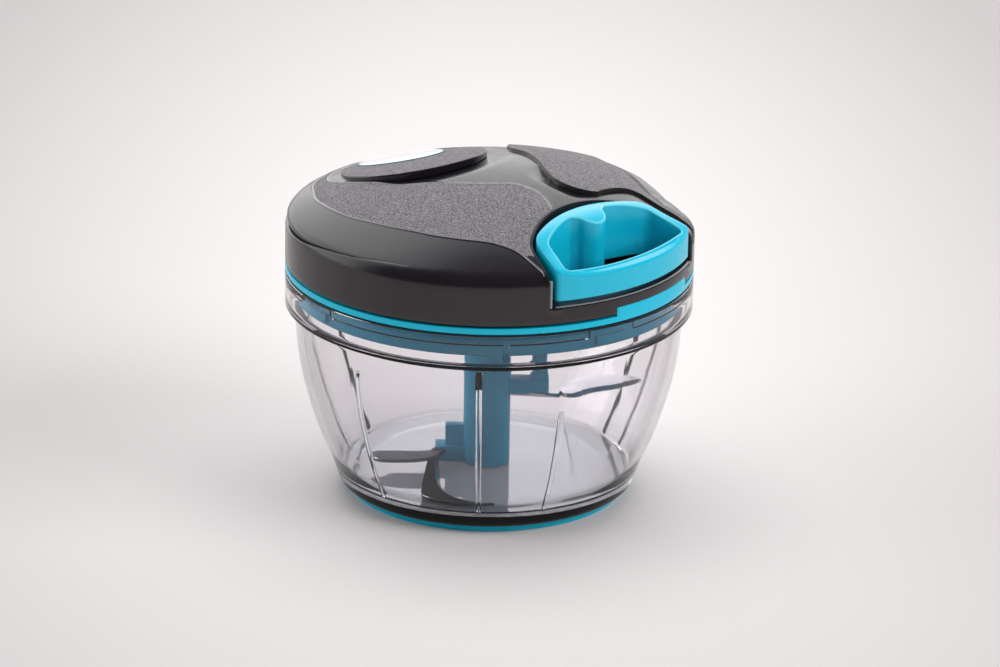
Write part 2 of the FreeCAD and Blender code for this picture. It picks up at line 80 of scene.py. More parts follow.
def heal(bm, weld):
    """Close hairline gaps: an open edge is split at the open vertices that lie on it, then small holes are filled."""
    for _ in range(4):
        bound = [e for e in bm.edges if len(e.link_faces) == 1]
        if not bound:
            return
        ends = {v for e in bound for v in e.verts}
        done = False
        for e in bound:
            a, b = e.verts[0].co, e.verts[1].co
            d = b - a
            if d.length < 4e-6:
                continue
            hit = []
            for v in ends:
                if v in e.verts:
                    continue
                t = (v.co - a).dot(d) / d.length_squared
                if 0.002 < t < 0.998 and (a + d * t - v.co).length < 6e-6:
                    hit.append((t, v))
            t0, start = 0.0, e.verts[0]
            for t, v in sorted(hit, key=lambda k: k[0]):
                e, nv = bmesh.utils.edge_split(e, start, (t - t0) / (1 - t0))
                nv.co = v.co
                far = [k for k in nv.link_edges if k.other_vert(nv) is not start]
                e, start, t0 = far[0], nv, t
                done = True
        if not done:
            break
        near = [v for v in bm.verts if any(len(k.link_faces) == 1 for k in v.link_edges)]
        bmesh.ops.remove_doubles(bm, verts=near, dist=weld)
    bound = [e for e in bm.edges if len(e.link_faces) == 1]
    if bound:
        bmesh.ops.holes_fill(bm, edges=bound, sides=6)


def make(name, verts, faces, mats, face_mat=None, sharp=35.0, merge=None, normals=True):
    """Mesh object from millimetre vertices.  mats: list of materials, face_mat: slot per face."""
    me = bpy.data.meshes.new(name)
    v = np.asarray(verts, float) * MM
    me.from_pydata(v.tolist(), [], [list(map(int, f)) for f in faces])
    for m in mats:
        me.materials.append(m)
    if face_mat is not None:
        me.polygons.foreach_set("material_index", np.asarray(face_mat, np.int32))
    me.update()
    bm = bmesh.new()
    bm.from_mesh(me)
    if merge:
        bmesh.ops.remove_doubles(bm, verts=bm.verts, dist=merge * MM)
        bmesh.ops.dissolve_degenerate(bm, edges=bm.edges, dist=1e-7)
        heal(bm, 3e-6)
    loose = [q for q in bm.verts if not q.link_faces]
    if loose:
        bmesh.ops.delete(bm, geom=loose, context="VERTS")
    if normals:
        bmesh.ops.recalc_face_normals(bm, faces=bm.faces)
    bm.to_mesh(me)
    bm.free()
    me.polygons.foreach_set("use_smooth", [True] * len(me.polygons))
    me.set_sharp_from_angle(angle=math.radians(sharp))
    me.update()
    ob = bpy.data.objects.new(name, me)
    SCENE.collection.objects.link(ob)
    return ob


def apply_mods(ob):
    dg = bpy.context.evaluated_depsgraph_get()
    me = bpy.data.meshes.new_from_object(ob.evaluated_get(dg))
    ob.modifiers.clear()
    old = ob.data
    ob.data = me
    bpy.data.meshes.remove(old)
    return ob


def dress(node, width=0.25, segments=2, angle=30.0, mat=None, body=None, name=None, dissolve=1.0):
    """The node's own shape, with its hard edges rounded."""
    src = NODES[node]
    me = src.data.copy()
    me.name = (name or node) + "_skin"
    ob = bpy.data.objects.new((name or node) + "_skin", me)
    SCENE.collection.objects.link(ob)
    bm = bmesh.new()
    bm.from_mesh(me)
    bmesh.ops.remove_doubles(bm, verts=bm.verts, dist=2e-6)
    bmesh.ops.dissolve_limit(bm, angle_limit=math.radians(dissolve), verts=bm.verts, edges=bm.edges)
    bm.to_mesh(me)
    bm.free()
    me.materials.clear()
    me.materials.append(mat)
    b = ob.modifiers.new("round", "BEVEL")
    b.width = width * MM
    b.segments = segments
    b.limit_method = "ANGLE"
    b.angle_limit = math.radians(angle)
    b.use_clamp_overlap = True
    b.harden_normals = False
    b.miter_outer = "MITER_ARC"
    apply_mods(ob)
    me = ob.data
    me.polygons.foreach_set("use_smooth", [True] * len(me.polygons))
    me.set_sharp_from_angle(angle=math.radians(28))
    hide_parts(node)
    return ob


def closed_normals(P):
    P = np.asarray(P, float)
    d = np.roll(P, -1, 0) - P
    d /= np.maximum(np.linalg.norm(d, axis=1), 1e-9)[:, None]
    n1 = np.column_stack([d[:, 1], -d[:, 0]])
    n0 = np.roll(n1, 1, 0)
    n = n0 + n1
    ln = np.linalg.norm(n, axis=1)
    n /= np.maximum(ln, 1e-9)[:, None]
    c = np.clip((n * n1).sum(1), 0.35, 1)
    return n / c[:, None]


def area2(P):
    x, y = P[:, 0], P[:, 1]
    return 0.5 * float((x * np.roll(y, -1) - np.roll(x, -1) * y).sum())


def ccw(P):
    P = np.asarray(P, float)
    return P if area2(P) > 0 else P[::-1].copy()


def grow(P, d):
    """Counter-clockwise closed polyline grown outward by d."""
    return P + closed_normals(P) * d


def inside(poly, Q):
    """Even-odd test of points Q in a closed polygon."""
    poly = np.asarray(poly, float)
    Q = np.asarray(Q, float)
    res = np.zeros(len(Q), bool)
    a, b = poly, np.roll(poly, -1, 0)
    for (x1, y1), (x2, y2) in zip(a, b):
        if y1 == y2:
            continue
        m = (Q[:, 1] > min(y1, y2)) & (Q[:, 1] <= max(y1, y2))
        if m.any():
            xi = x1 + (Q[m, 1] - y1) * (x2 - x1) / (y2 - y1)
            k = np.where(m)[0]
            res[k[xi > Q[m, 0]]] ^= True
    return res


def dist_poly(Q, P, closed=False):
    """Distance from points Q to a polyline, with the share of its length at the nearest point."""
    Q = np.asarray(Q, float)
    P = np.asarray(P, float)
    A = P
    B = np.roll(P, -1, 0)
    if not closed:
        A, B = P[:-1], P[1:]
    L = np.linalg.norm(B - A, axis=1)
    acc = np.concatenate([[0], np.cumsum(L)])
    best = np.full(len(Q), 1e9)
    tt = np.zeros(len(Q))
    for i in range(len(A)):
        d = B[i] - A[i]
        l2 = max(float(d @ d), 1e-12)
        t = np.clip(((Q - A[i]) @ d) / l2, 0, 1)
        c = A[i] + t[:, None] * d
        r = np.hypot(*(Q - c).T)
        m = r < best
        best[m] = r[m]
        tt[m] = acc[i] + t[m] * L[i]
    return best, tt / acc[-1]


def curve(pts, step=0.6, closed=False, alpha=0.5):
    """Smooth curve through points (centripetal Catmull-Rom), evenly resampled."""
    P = [np.asarray(p, float) for p in pts]
    if closed:
        P = [P[-1]] + P + [P[0], P[1]]
    else:
        P = [2 * P[0] - P[1]] + P + [2 * P[-1] - P[-2]]
    out = []
    for i in range(1, len(P) - 2):
        p0, p1, p2, p3 = P[i - 1], P[i], P[i + 1], P[i + 2]
        t0 = 0.0
        t1 = t0 + max(np.linalg.norm(p1 - p0), 1e-6) ** alpha
        t2 = t1 + max(np.linalg.norm(p2 - p1), 1e-6) ** alpha
        t3 = t2 + max(np.linalg.norm(p3 - p2), 1e-6) ** alpha
        for t in np.linspace(t1, t2, 24, endpoint=False):
            a1 = (t1 - t) / (t1 - t0) * p0 + (t - t0) / (t1 - t0) * p1
            a2 = (t2 - t) / (t2 - t1) * p1 + (t - t1) / (t2 - t1) * p2
            a3 = (t3 - t) / (t3 - t2) * p2 + (t - t2) / (t3 - t2) * p3
            b1 = (t2 - t) / (t2 - t0) * a1 + (t - t0) / (t2 - t0) * a2
            b2 = (t3 - t) / (t3 - t1) * a2 + (t - t1) / (t3 - t1) * a3
            out.append((t2 - t) / (t2 - t1) * b1 + (t - t1) / (t2 - t1) * b2)
    out = np.array(out + [P[-2]])
    return resample(out, step, closed)


def resample(P, step, closed=False):
    P = np.asarray(P, float)
    if closed and np.linalg.norm(P[0] - P[-1]) > 1e-6:
        P = np.vstack([P, P[:1]])
    L = np.concatenate([[0], np.cumsum(np.linalg.norm(np.diff(P, axis=0), axis=1))])
    n = max(2, int(round(L[-1] / step)))
    s = np.linspace(0, L[-1], n + 1)
    R = np.column_stack([np.interp(s, L, P[:, k]) for k in range(P.shape[1])])
    return R[:-1] if closed else R


def triangulate(loops, lines=(), pts=(), holes=(), outer=None):
    """Constrained triangulation.  loops: closed polylines that are edges; the region is inside
    `outer` (first loop if None) and outside every loop in `holes`."""
    V, E = [], []
    for P in loops:
        k = len(V)
        V += [tuple(p) for p in P]
        E += [(k + i, k + (i + 1) % len(P)) for i in range(len(P))]
    for P in lines:
        k = len(V)
        V += [tuple(p) for p in P]
        E += [(k + i, k + i + 1) for i in range(len(P) - 1)]
    V += [tuple(p) for p in pts]
    nl = sum(len(P) for P in loops)
    r = delaunay_2d_cdt([Vector(v) for v in V], E, [], 0, 1e-5)
    W = np.array([tuple(v) for v in r[0]])
    F = np.array(r[2])
    fence = {(min(e), max(e)) for e, o in zip(r[1], r[4]) if any(k < nl for k in o)}
    # faces that meet across an edge that is no loop's edge belong together
    root = list(range(len(F)))

    def find(i):
        while root[i] != i:
            root[i] = root[root[i]]
            i = root[i]
        return i

    seen = {}
    for i, f in enumerate(F):
        for k in range(3):
            e = (int(min(f[k], f[(k + 1) % 3])), int(max(f[k], f[(k + 1) % 3])))
            if e in fence:
                continue
            if e in seen:
                root[find(i)] = find(seen[e])
            else:
                seen[e] = i
    grp = np.array([find(i) for i in range(len(F))])
    c = W[F].mean(1)
    p0, p1, p2 = W[F[:, 0]], W[F[:, 1]], W[F[:, 2]]
    ar = np.abs((p1[:, 0] - p0[:, 0]) * (p2[:, 1] - p0[:, 1]) - (p1[:, 1] - p0[:, 1]) * (p2[:, 0] - p0[:, 0]))
    heads = np.array([np.where(grp == k)[0][np.argmax(ar[grp == k])] for k in np.unique(grp)])
    good = inside(loops[0] if outer is None else outer, c[heads])
    for h in holes:
        good &= ~inside(h, c[heads])
    keep = np.isin(grp, grp[heads[good]])
    F = F[keep]
    used = np.unique(F)
    idx = -np.ones(len(W), int)
    idx[used] = np.arange(len(used))
    return W[used], idx[F]


def hexgrid(x0, x1, y0, y1, h):
    ys = np.arange(y0, y1 + h, h * 0.866)
    out = []
    for j, y in enumerate(ys):
        xs = np.arange(x0 + (h / 2 if j % 2 else 0), x1 + h, h)
        out.append(np.column_stack([xs, np.full(len(xs), y)]))
    return np.vstack(out)


def lathe(name, prof, mats, az=None, face_mat=None, radial=None, sharp=35.0, closed=True):
    """Turned mesh.  prof: (r, z) points round the section.  radial(i, az) may change (r, z)."""
    prof = np.asarray(prof, float)
    if az is None:
        az = np.linspace(0, 360, 181)[:-1]
    az = np.asarray(az, float)
    n, m = len(prof), len(az)
    R = np.repeat(prof[:, 0][:, None], m, 1)
    Z = np.repeat(prof[:, 1][:, None], m, 1)
    if radial is not None:
        R, Z = radial(R, Z, az)
    a = np.radians(az)[None, :]
    V = np.stack([R * np.cos(a), R * np.sin(a), Z], -1).reshape(-1, 3)
    F = []
    rows = n if closed else n - 1
    for i in range(rows):
        i2 = (i + 1) % n
        if prof[i, 0] < 1e-6 and prof[i2, 0] < 1e-6:
            continue
        for j in range(m):
            j2 = (j + 1) % m
            F.append((i * m + j, i * m + j2, i2 * m + j2, i2 * m + j))
    return make(name, V, F, mats, None if face_mat is None else face_mat, sharp=sharp, merge=0.002)


def round_section(pts, radii, seg=4):
    """Closed (r, z) outline with its corners rounded."""
    P = [np.asarray(p, float) for p in pts]
    n = len(P)
    out = []
    for i in range(n):
        a, b, c = P[i - 1], P[i], P[(i + 1) % n]
        rad = radii[i] if hasattr(radii, "__len__") else radii
        if rad <= 0:
            out.append(b)
            continue
        u, v = a - b, c - b
        lu, lv = np.linalg.norm(u), np.linalg.norm(v)
        u, v = u / lu, v / lv
        ang = math.acos(np.clip(u @ v, -1, 1))
        d = min(rad / max(math.tan(ang / 2), 1e-6), 0.48 * lu, 0.48 * lv)
        r = d * math.tan(ang / 2)
        m = u + v
        m /= np.linalg.norm(m)
        cen = b + m * (r / math.sin(ang / 2))
        p0, p1 = b + u * d, b + v * d
        a0 = math.atan2(*(p0 - cen)[::-1])
        a1 = math.atan2(*(p1 - cen)[::-1])
        da = (a1 - a0 + math.pi) % (2 * math.pi) - math.pi
        for k in range(seg + 1):
            t = a0 + da * k / seg
            out.append(cen + r * np.array([math.cos(t), math.sin(t)]))
    return np.array(out)


def tube(name, path, radius, mats, sides=12, caps=True, up=(0, 0, 1)):
    """Round tube along points in millimetres."""
    P = np.asarray(path, float)
    n = len(P)
    T = np.gradient(P, axis=0)
    T /= np.linalg.norm(T, axis=1)[:, None]
    N = np.cross(T[0], up)
    if np.linalg.norm(N) < 1e-3:
        N = np.cross(T[0], (1, 0, 0))
    N /= np.linalg.norm(N)
    V = []
    for i in range(n):
        N = N - T[i] * (N @ T[i])
        N /= np.linalg.norm(N)
        B = np.cross(T[i], N)
        for k in range(sides):
            a = 2 * math.pi * k / sides
            V.append(P[i] + radius * (math.cos(a) * N + math.sin(a) * B))
    F = []
    for i in range(n - 1):
        for k in range(sides):
            k2 = (k + 1) % sides
            F.append((i * sides + k, i * sides + k2, (i + 1) * sides + k2, (i + 1) * sides + k))
    if caps:
        V += [P[0] - T[0] * radius * 0.25, P[-1] + T[-1] * radius * 0.25]
        a, b = len(V) - 2, len(V) - 1
        for k in range(sides):
            k2 = (k + 1) % sides
            F.append((a, k2, k))
            F.append((b, (n - 1) * sides + k, (n - 1) * sides + k2))
    return make(name, V, F, mats, sharp=60)


# ===================================================================  materials
def new_mat(name):
    m = bpy.data.materials.new(name)
    m.use_nodes = True
    nt = m.node_tree
    nt.nodes.clear()
    return m, nt


class G:
    """Small helper for writing a node tree."""

    def __init__(self, nt):
        self.nt = nt

    def n(self, kind, **kw):
        x = self.nt.nodes.new(kind)
        for k, v in kw.items():
            if hasattr(x, k) and k not in x.inputs:
                setattr(x, k, v)
            else:
                x.inputs[k].default_value = v
        return x

    def l(self, a, b):
        self.nt.links.new(a, b)

    def noise(self, co, scale, detail=2.0, rough=0.5, dist=0.0):
        x = self.n("ShaderNodeTexNoise")
        x.inputs["Scale"].default_value = scale
        x.inputs["Detail"].default_value = detail
        x.inputs["Roughness"].default_value = rough
        x.inputs["Distortion"].default_value = dist
        self.l(co, x.inputs["Vector"])
        return x

    def range(self, v, a, b, c, d):
        x = self.n("ShaderNodeMapRange")
        x.inputs["From Min"].default_value = a
        x.inputs["From Max"].default_value = b
        x.inputs["To Min"].default_value = c
        x.inputs["To Max"].default_value = d
        self.l(v, x.inputs["Value"])
        return x.outputs["Result"]

    def mixc(self, f, a, b):
        x = self.n("ShaderNodeMix", data_type="RGBA")
        self.l(f, x.inputs["Factor"])
        for s, v in ((x.inputs[6], a), (x.inputs[7], b)):
            if hasattr(v, "is_linked") or isinstance(v, bpy.types.NodeSocket):
                self.l(v, s)
            else:
                s.default_value = (*v, 1.0) if len(v) == 3 else v
        return x.outputs[2]

    def bump(self, h, strength, dist, normal=None):
        x = self.n("ShaderNodeBump")
        x.inputs["Strength"].default_value = strength
        x.inputs["Distance"].default_value = dist
        self.l(h, x.inputs["Height"])
        if normal is not None:
            self.l(normal, x.inputs["Normal"])
        return x.outputs["Normal"]


def plastic(name, c0, c1, rough=(0.25, 0.4), grain=0.0, grain_scale=2500.0, wave=0.00002, spec=0.5, coat=0.0, speck=None):
    """Moulded plastic: a slightly uneven colour, uneven gloss, the soft waves of a moulding, and a fine grain."""
    m, nt = new_mat(name)
    g = G(nt)
    out = g.n("ShaderNodeOutputMaterial")
    p = g.n("ShaderNodeBsdfPrincipled")
    tc = g.n("ShaderNodeTexCoord")
    co = tc.outputs["Object"]
    big = g.noise(co, 38.0, 3.0, 0.55)
    col = g.mixc(g.range(big.outputs["Fac"], 0.3, 0.7, 0, 1), c0, c1)
    fine = g.noise(co, grain_scale, 2.0, 0.6)
    if speck is not None:
        f = g.range(fine.outputs["Fac"], 0.38, 0.66, 0, 1)
        col = g.mixc(f, col, speck)
    g.l(col, p.inputs["Base Color"])
    mid = g.noise(co, 260.0, 4.0, 0.6)
    g.l(g.range(mid.outputs["Fac"], 0.3, 0.7, rough[0], rough[1]), p.inputs["Roughness"])
    p.inputs["Specular IOR Level"].default_value = spec
    p.inputs["Coat Weight"].default_value = coat
    p.inputs["Coat Roughness"].default_value = 0.12
    nrm = g.bump(g.noise(co, 90.0, 2.0, 0.5).outputs["Fac"], 0.35, wave)
    if grain > 0:
        nrm = g.bump(fine.outputs["Fac"], 0.9, grain, nrm)
    g.l(nrm, p.inputs["Normal"])
    g.l(p.outputs["BSDF"], out.inputs["Surface"])
    return m


def metal(name, c0, c1, rough=(0.2, 0.4), direction=(1.0, 1.0, 30.0), scale=400.0, aniso=0.4, rim=1.0):
    """Ground or turned steel: fine lines one way, an uneven gloss."""
    m, nt = new_mat(name)
    g = G(nt)
    out = g.n("ShaderNodeOutputMaterial")
    p = g.n("ShaderNodeBsdfPrincipled")
    tc = g.n("ShaderNodeTexCoord")
    mp = g.n("ShaderNodeMapping")
    mp.inputs["Scale"].default_value = direction
    g.l(tc.outputs["Object"], mp.inputs["Vector"])
    lines = g.noise(mp.outputs["Vector"], scale, 3.0, 0.7)
    big = g.noise(tc.outputs["Object"], 60.0, 2.0, 0.5)
    g.l(g.mixc(g.range(big.outputs["Fac"], 0.35, 0.65, 0, 1), c0, c1), p.inputs["Base Color"])
    p.inputs["Metallic"].default_value = 1.0
    p.inputs["Specular Tint"].default_value = (rim, rim, rim, 1)
    g.l(g.range(lines.outputs["Fac"], 0.3, 0.7, rough[0], rough[1]), p.inputs["Roughness"])
    p.inputs["Anisotropic"].default_value = aniso
    g.l(g.bump(lines.outputs["Fac"], 0.35, 0.00003), p.inputs["Normal"])
    g.l(p.outputs["BSDF"], out.inputs["Surface"])
    return m


def clear(name, tint=(0.965, 0.975, 0.98), ior=1.5, rough=0.02, shade=0.93, edge=None, trans=1.0, spec=0.5, coat=0.0):
    """Clear moulded plastic.  Lamps shine through it, so that what is inside is lit."""
    m, nt = new_mat(name)
    g = G(nt)
    out = g.n("ShaderNodeOutputMaterial")
    p = g.n("ShaderNodeBsdfPrincipled")
    tc = g.n("ShaderNodeTexCoord")
    co = tc.outputs["Object"]
    f = g.noise(co, 45.0, 2.0, 0.5)
    col = g.mixc(g.range(f.outputs["Fac"], 0.3, 0.7, 0, 1), tint, tuple(min(1.0, x * 1.02) for x in tint))
    if edge is not None:                  # a slanting way through the wall is longer, so darker
        lw = g.n("ShaderNodeLayerWeight")
        lw.inputs["Blend"].default_value = 0.5
        col = g.mixc(g.range(lw.outputs["Facing"], 0.50, 0.95, 0, 1), col, edge)
    g.l(col, p.inputs["Base Color"])
    fine = g.noise(co, 500.0, 3.0, 0.6)
    g.l(g.range(fine.outputs["Fac"], 0.35, 0.7, rough, rough * 2.2), p.inputs["Roughness"])
    p.inputs["Transmission Weight"].default_value = trans
    p.inputs["Specular IOR Level"].default_value = spec
    p.inputs["Coat Weight"].default_value = coat
    p.inputs["Coat IOR"].default_value = 2.0
    p.inputs["IOR"].default_value = ior
    g.l(g.bump(g.noise(co, 70.0, 1.0, 0.5).outputs["Fac"], 0.3, 0.00003), p.inputs["Normal"])
    tr = g.n("ShaderNodeBsdfTransparent")
    tr.inputs["Color"].default_value = (shade, shade, shade, 1)
    lp = g.n("ShaderNodeLightPath")
    mx = g.n("ShaderNodeMixShader")
    g.l(lp.outputs["Is Shadow Ray"], mx.inputs["Fac"])
    g.l(p.outputs["BSDF"], mx.inputs[1])
    g.l(tr.outputs["BSDF"], mx.inputs[2])
    g.l(mx.outputs["Shader"], out.inputs["Surface"])
    return m


def braid(name, c0, c1, axis="X"):
    """Braided cord: crossed strands, from two sets of bands slanted 38 degrees each way in the object's coordinates."""
    m, nt = new_mat(name)
    g = G(nt)
    out = g.n("ShaderNodeOutputMaterial")
    p = g.n("ShaderNodeBsdfPrincipled")
    tc = g.n("ShaderNodeTexCoord")
    co = tc.outputs["Object"]
    hs = []
    for s in (1.0, -1.0):
        mp = g.n("ShaderNodeMapping")
        mp.inputs["Rotation"].default_value = (0, 0, s * math.radians(38))
        g.l(co, mp.inputs["Vector"])
        w = g.n("ShaderNodeTexWave", wave_type="BANDS", bands_direction="X", wave_profile="SIN")
        w.inputs["Scale"].default_value = 340.0
        w.inputs["Distortion"].default_value = 0.6
        w.inputs["Detail"].default_value = 1.0
        g.l(mp.outputs["Vector"], w.inputs["Vector"])
        hs.append(w.outputs["Fac"])
    mx = g.n("ShaderNodeMath", operation="MAXIMUM")
    g.l(hs[0], mx.inputs[0])
    g.l(hs[1], mx.inputs[1])
    fib = g.noise(co, 3000.0, 2.0, 0.6)
    g.l(g.mixc(mx.outputs[0], c0, c1), p.inputs["Base Color"])
    p.inputs["Roughness"].default_value = 0.78
    p.inputs["Sheen Weight"].default_value = 0.25
    n1 = g.bump(mx.outputs[0], 0.8, 0.00012)
    g.l(g.bump(fib.outputs["Fac"], 0.4, 0.00003, n1), p.inputs["Normal"])
    g.l(p.outputs["BSDF"], out.inputs["Surface"])
    return m


GLOSS = plastic("grey_gloss", (0.0110, 0.0092, 0.0120), (0.0140, 0.0120, 0.0155), rough=(0.19, 0.26), grain=0.000008, grain_scale=2600.0, spec=0.60)
GRAIN = plastic("grey_grain", (0.042, 0.039, 0.043), (0.055, 0.051, 0.056), rough=(0.55, 0.75), grain=0.00024, grain_scale=2600.0,
                spec=0.40, speck=(0.36, 0.34, 0.36))
# painted highlight: light grey on the dark cover where its beads and edges catch the light
HIGHLIGHT_GREY = plastic("grey_painted_highlight", (0.23, 0.22, 0.235), (0.28, 0.27, 0.285), rough=(0.15, 0.22), grain=0.000008, spec=0.8)
DARKIN = plastic("grey_inner", (0.010, 0.010, 0.011), (0.014, 0.013, 0.015), rough=(0.4, 0.55), grain=0.00002)
TEAL = plastic("teal_moulded", (0.0040, 0.50, 0.70), (0.0050, 0.53, 0.74), rough=(0.20, 0.28), grain=0.000006, spec=0.42)
TEAL_GRIP = plastic("teal_handle", (0.0040, 0.50, 0.70), (0.0050, 0.53, 0.74), rough=(0.20, 0.30), grain=0.000006, spec=0.60)
# painted highlight: a lighter copy of the teal for the handle opening's rounded top edge
TEAL_HIGHLIGHT_PAINT = plastic("teal_painted_highlight", (0.12, 0.66, 0.82), (0.15, 0.70, 0.85), rough=(0.12, 0.2), grain=0.000004, spec=0.9)
# shaded copy of the teal: painted shade for the teal parts seen through the clear bowl (blade shaft, lid skirt inside
# the collar)
TEAL_PAINTED_SHADE = plastic("teal_painted_shade", (0.0006, 0.285, 0.47), (0.0010, 0.305, 0.50), rough=(0.42, 0.52), grain=0.00001, spec=0.16)
TEAL_RUB = plastic("teal_grip", (0.001, 0.42, 0.58), (0.002, 0.46, 0.63), rough=(0.5, 0.65), grain=0.00005, grain_scale=1800.0, spec=0.35)
TEAL_DARK = plastic("teal_line", (0.002, 0.16, 0.18), (0.003, 0.18, 0.20), rough=(0.3, 0.4))
WHITE = plastic("white_badge", (0.86, 0.86, 0.86), (0.89, 0.89, 0.89), rough=(0.12, 0.2), wave=0.00001)
NYLON = plastic("nylon", (0.60, 0.60, 0.56), (0.68, 0.68, 0.63), rough=(0.4, 0.55), grain=0.00002)
RUBBER = plastic("black_rubber", (0.008, 0.008, 0.009), (0.014, 0.014, 0.015), rough=(0.45, 0.6), grain=0.00003)
BLADE = metal("blade_steel", (0.47, 0.46, 0.475), (0.53, 0.52, 0.535), rough=(0.28, 0.4), direction=(1, 6, 1), scale=700)
STEEL = metal("turned_steel", (0.52, 0.52, 0.54), (0.6, 0.6, 0.61), rough=(0.22, 0.38), direction=(1, 1, 18), scale=500)
SPRING = metal("spring_steel", (0.16, 0.18, 0.25), (0.24, 0.26, 0.33), rough=(0.25, 0.4), direction=(1, 1, 25), scale=500)
# painted shade: darker copies of the blade steel for the lower and middle blades
BLADE_SHADE_PAINT = metal("blade_steel_painted_shade", (0.034, 0.032, 0.038), (0.050, 0.047, 0.055), rough=(0.3, 0.45), direction=(1, 6, 1), scale=700, rim=0.12)
BLADE_HALF_SHADE_PAINT = metal("blade_steel_painted_half_shade", (0.15, 0.145, 0.16), (0.19, 0.18, 0.20), rough=(0.35, 0.5), direction=(1, 6, 1), scale=700, rim=0.15)
CLEAR = clear("clear_moulded", tint=(0.875, 0.862, 0.884), shade=0.78, edge=(0.56, 0.545, 0.57), spec=0.14)
CLEAR_RIM = clear("clear_collar", tint=(0.90, 0.89, 0.905), shade=0.80, edge=(0.86, 0.85, 0.865), spec=0.14)
# bowl floor: the plastic's own tint, darkened and made half milky as painted shade for the shadowed table seen through
# it
FLOOR_TINT_SHADE = clear("clear_floor_painted_shade", tint=(0.49, 0.475, 0.515), rough=0.03, shade=0.80, trans=0.55, spec=0.5, coat=0.26)
FROSTED = clear("clear_frosted", tint=(0.86, 0.86, 0.88), rough=0.30, shade=0.80)
# painted shade: near-black plastic that stands in for the dark refraction and reflection lines in the clear collar,
# foot and front rib
DARK_BAND_PAINT = plastic("painted_dark_refraction", (0.0035, 0.0033, 0.0040), (0.006, 0.0055, 0.0065), rough=(0.08, 0.14), wave=0.00001, spec=0.16)
# ground bevel: a real ground finish, with its light colour partly a painted highlight
EDGE_STEEL_GLINT = metal("ground_edge_painted_highlight", (0.80, 0.80, 0.81), (0.88, 0.88, 0.88), rough=(0.10, 0.2), direction=(6, 1, 1), scale=900, aniso=0.2)
CORD = braid("braided_cord", (0.30, 0.30, 0.29), (0.78, 0.78, 0.74))


# =================================================================  dome shape
R_SPH, Z_TOP, R_SIDE, R_SH = 153.0, 101.1, 62.5, 4.4
C0 = Z_TOP - R_SPH
CR = R_SIDE - R_SH
CZ = C0 + math.sqrt((R_SPH - R_SH) ** 2 - CR ** 2)
TH_T = math.asin(CR / (R_SPH - R_SH))          # slope where dome meets shoulder
R_T = R_SPH * math.sin(TH_T)
S_T = R_SPH * TH_T
S_S = S_T + R_SH * (math.pi / 2 - TH_T)        # arc length at the top of the straight side


def s_of_r(r):
    r = np.asarray(r, float)
    dome = R_SPH * np.arcsin(np.clip(r / R_SPH, 0, 1))
    sh = S_T + R_SH * (np.arcsin(np.clip((r - CR) / R_SH, -1, 1)) - TH_T)
    return np.where(r <= R_T, dome, sh)


def s_of_z(z):
    """On the straight side."""
    return S_S + (CZ - np.asarray(z, float))


def U(x, y):
    """Plan point on the dome to the unrolled plane."""
    x, y = np.asarray(x, float), np.asarray(y, float)
    r = np.hypot(x, y)
    k = s_of_r(r) / np.maximum(r, 1e-9)
    return np.stack([x * k, y * k], -1)


def Us(az, z):
    """Point of the side (azimuth in degrees, height) to the unrolled plane."""
    a = np.radians(np.asarray(az, float))
    s = s_of_z(z)
    return np.stack([s * np.cos(a), s * np.sin(a)], -1)


def nominal(Q):
    """Unrolled point to (place, normal, r, z, azimuth) on the plain dome."""
    Q = np.asarray(Q, float)
    s = np.hypot(Q[:, 0], Q[:, 1])
    a = np.arctan2(Q[:, 1], Q[:, 0])
    th = np.where(s <= S_T, s / R_SPH, np.where(s <= S_S, TH_T + (s - S_T) / R_SH, math.pi / 2))
    r = np.where(s <= S_T, R_SPH * np.sin(th), np.where(s <= S_S, CR + R_SH * np.sin(th), R_SIDE))
    z = np.where(s <= S_T, C0 + R_SPH * np.cos(th), np.where(s <= S_S, CZ + R_SH * np.cos(th), CZ - (s - S_S)))
    P = np.stack([r * np.cos(a), r * np.sin(a), z], -1)
    N = np.stack([np.sin(th) * np.cos(a), np.sin(th) * np.sin(a), np.cos(th)], -1)
    return P, N, r, z, np.degrees(a)


# the handle's plan, as in the frame
AMX, AC, FC, FR = 33.1, (41.25, 23.75), (54.7, 29.6), 62.2


def plan_outline(d=0.0, front=FR, extra=0.0, base=(AMX, AC, FC)):
    """Corners and arcs of a ring-shaped plan grown by d: (arch arc, side end) for y > 0."""
    AMX, AC, FC = base
    dx, dy = FC[0] - AC[0], FC[1] - AC[1]
    n = math.hypot(dx, dy)
    u = np.array([dx / n, dy / n])
    o = np.array([-dy / n, dx / n]) * (d + extra)
    s = AC[0] - AMX
    R = (AC[1] ** 2 + s * s) / (2 * s)
    cx = AMX + R
    Rd = R + d
    p0 = np.array(AC) + o
    f = p0 - [cx, 0]
    b = f @ u
    c = f @ f - Rd * Rd
    t = min((-b - math.sqrt(b * b - c), -b + math.sqrt(b * b - c)), key=lambda k: np.hypot(*(p0 + k * u - AC)))
    a1 = p0 + t * u
    b = p0 @ u
    c = p0 @ p0 - front * front
    b1 = p0 + (-b + math.sqrt(b * b - c)) * u
    return cx, Rd, a1, b1, u


def fillet_corner(P, i, d, n=7):
    """Replace vertex i of a dense open polyline by a round that starts d before and ends d after it."""
    L = np.concatenate([[0], np.cumsum(np.linalg.norm(np.diff(P, axis=0), axis=1))])
    s0 = L[i]
    at = lambda s: np.array([np.interp(s, L, P[:, k]) for k in range(2)])
    A, B, C = at(s0 - d), at(s0 + d), P[i]
    t = np.linspace(0, 1, n)[:, None]
    h = 0.58
    c1, c2 = A + (C - A) * h, B + (C - B) * h
    bz = (1 - t) ** 3 * A + 3 * (1 - t) ** 2 * t * c1 + 3 * (1 - t) * t ** 2 * c2 + t ** 3 * B
    return np.vstack([P[L < s0 - d - 1e-6], bz, P[L > s0 + d + 1e-6]])


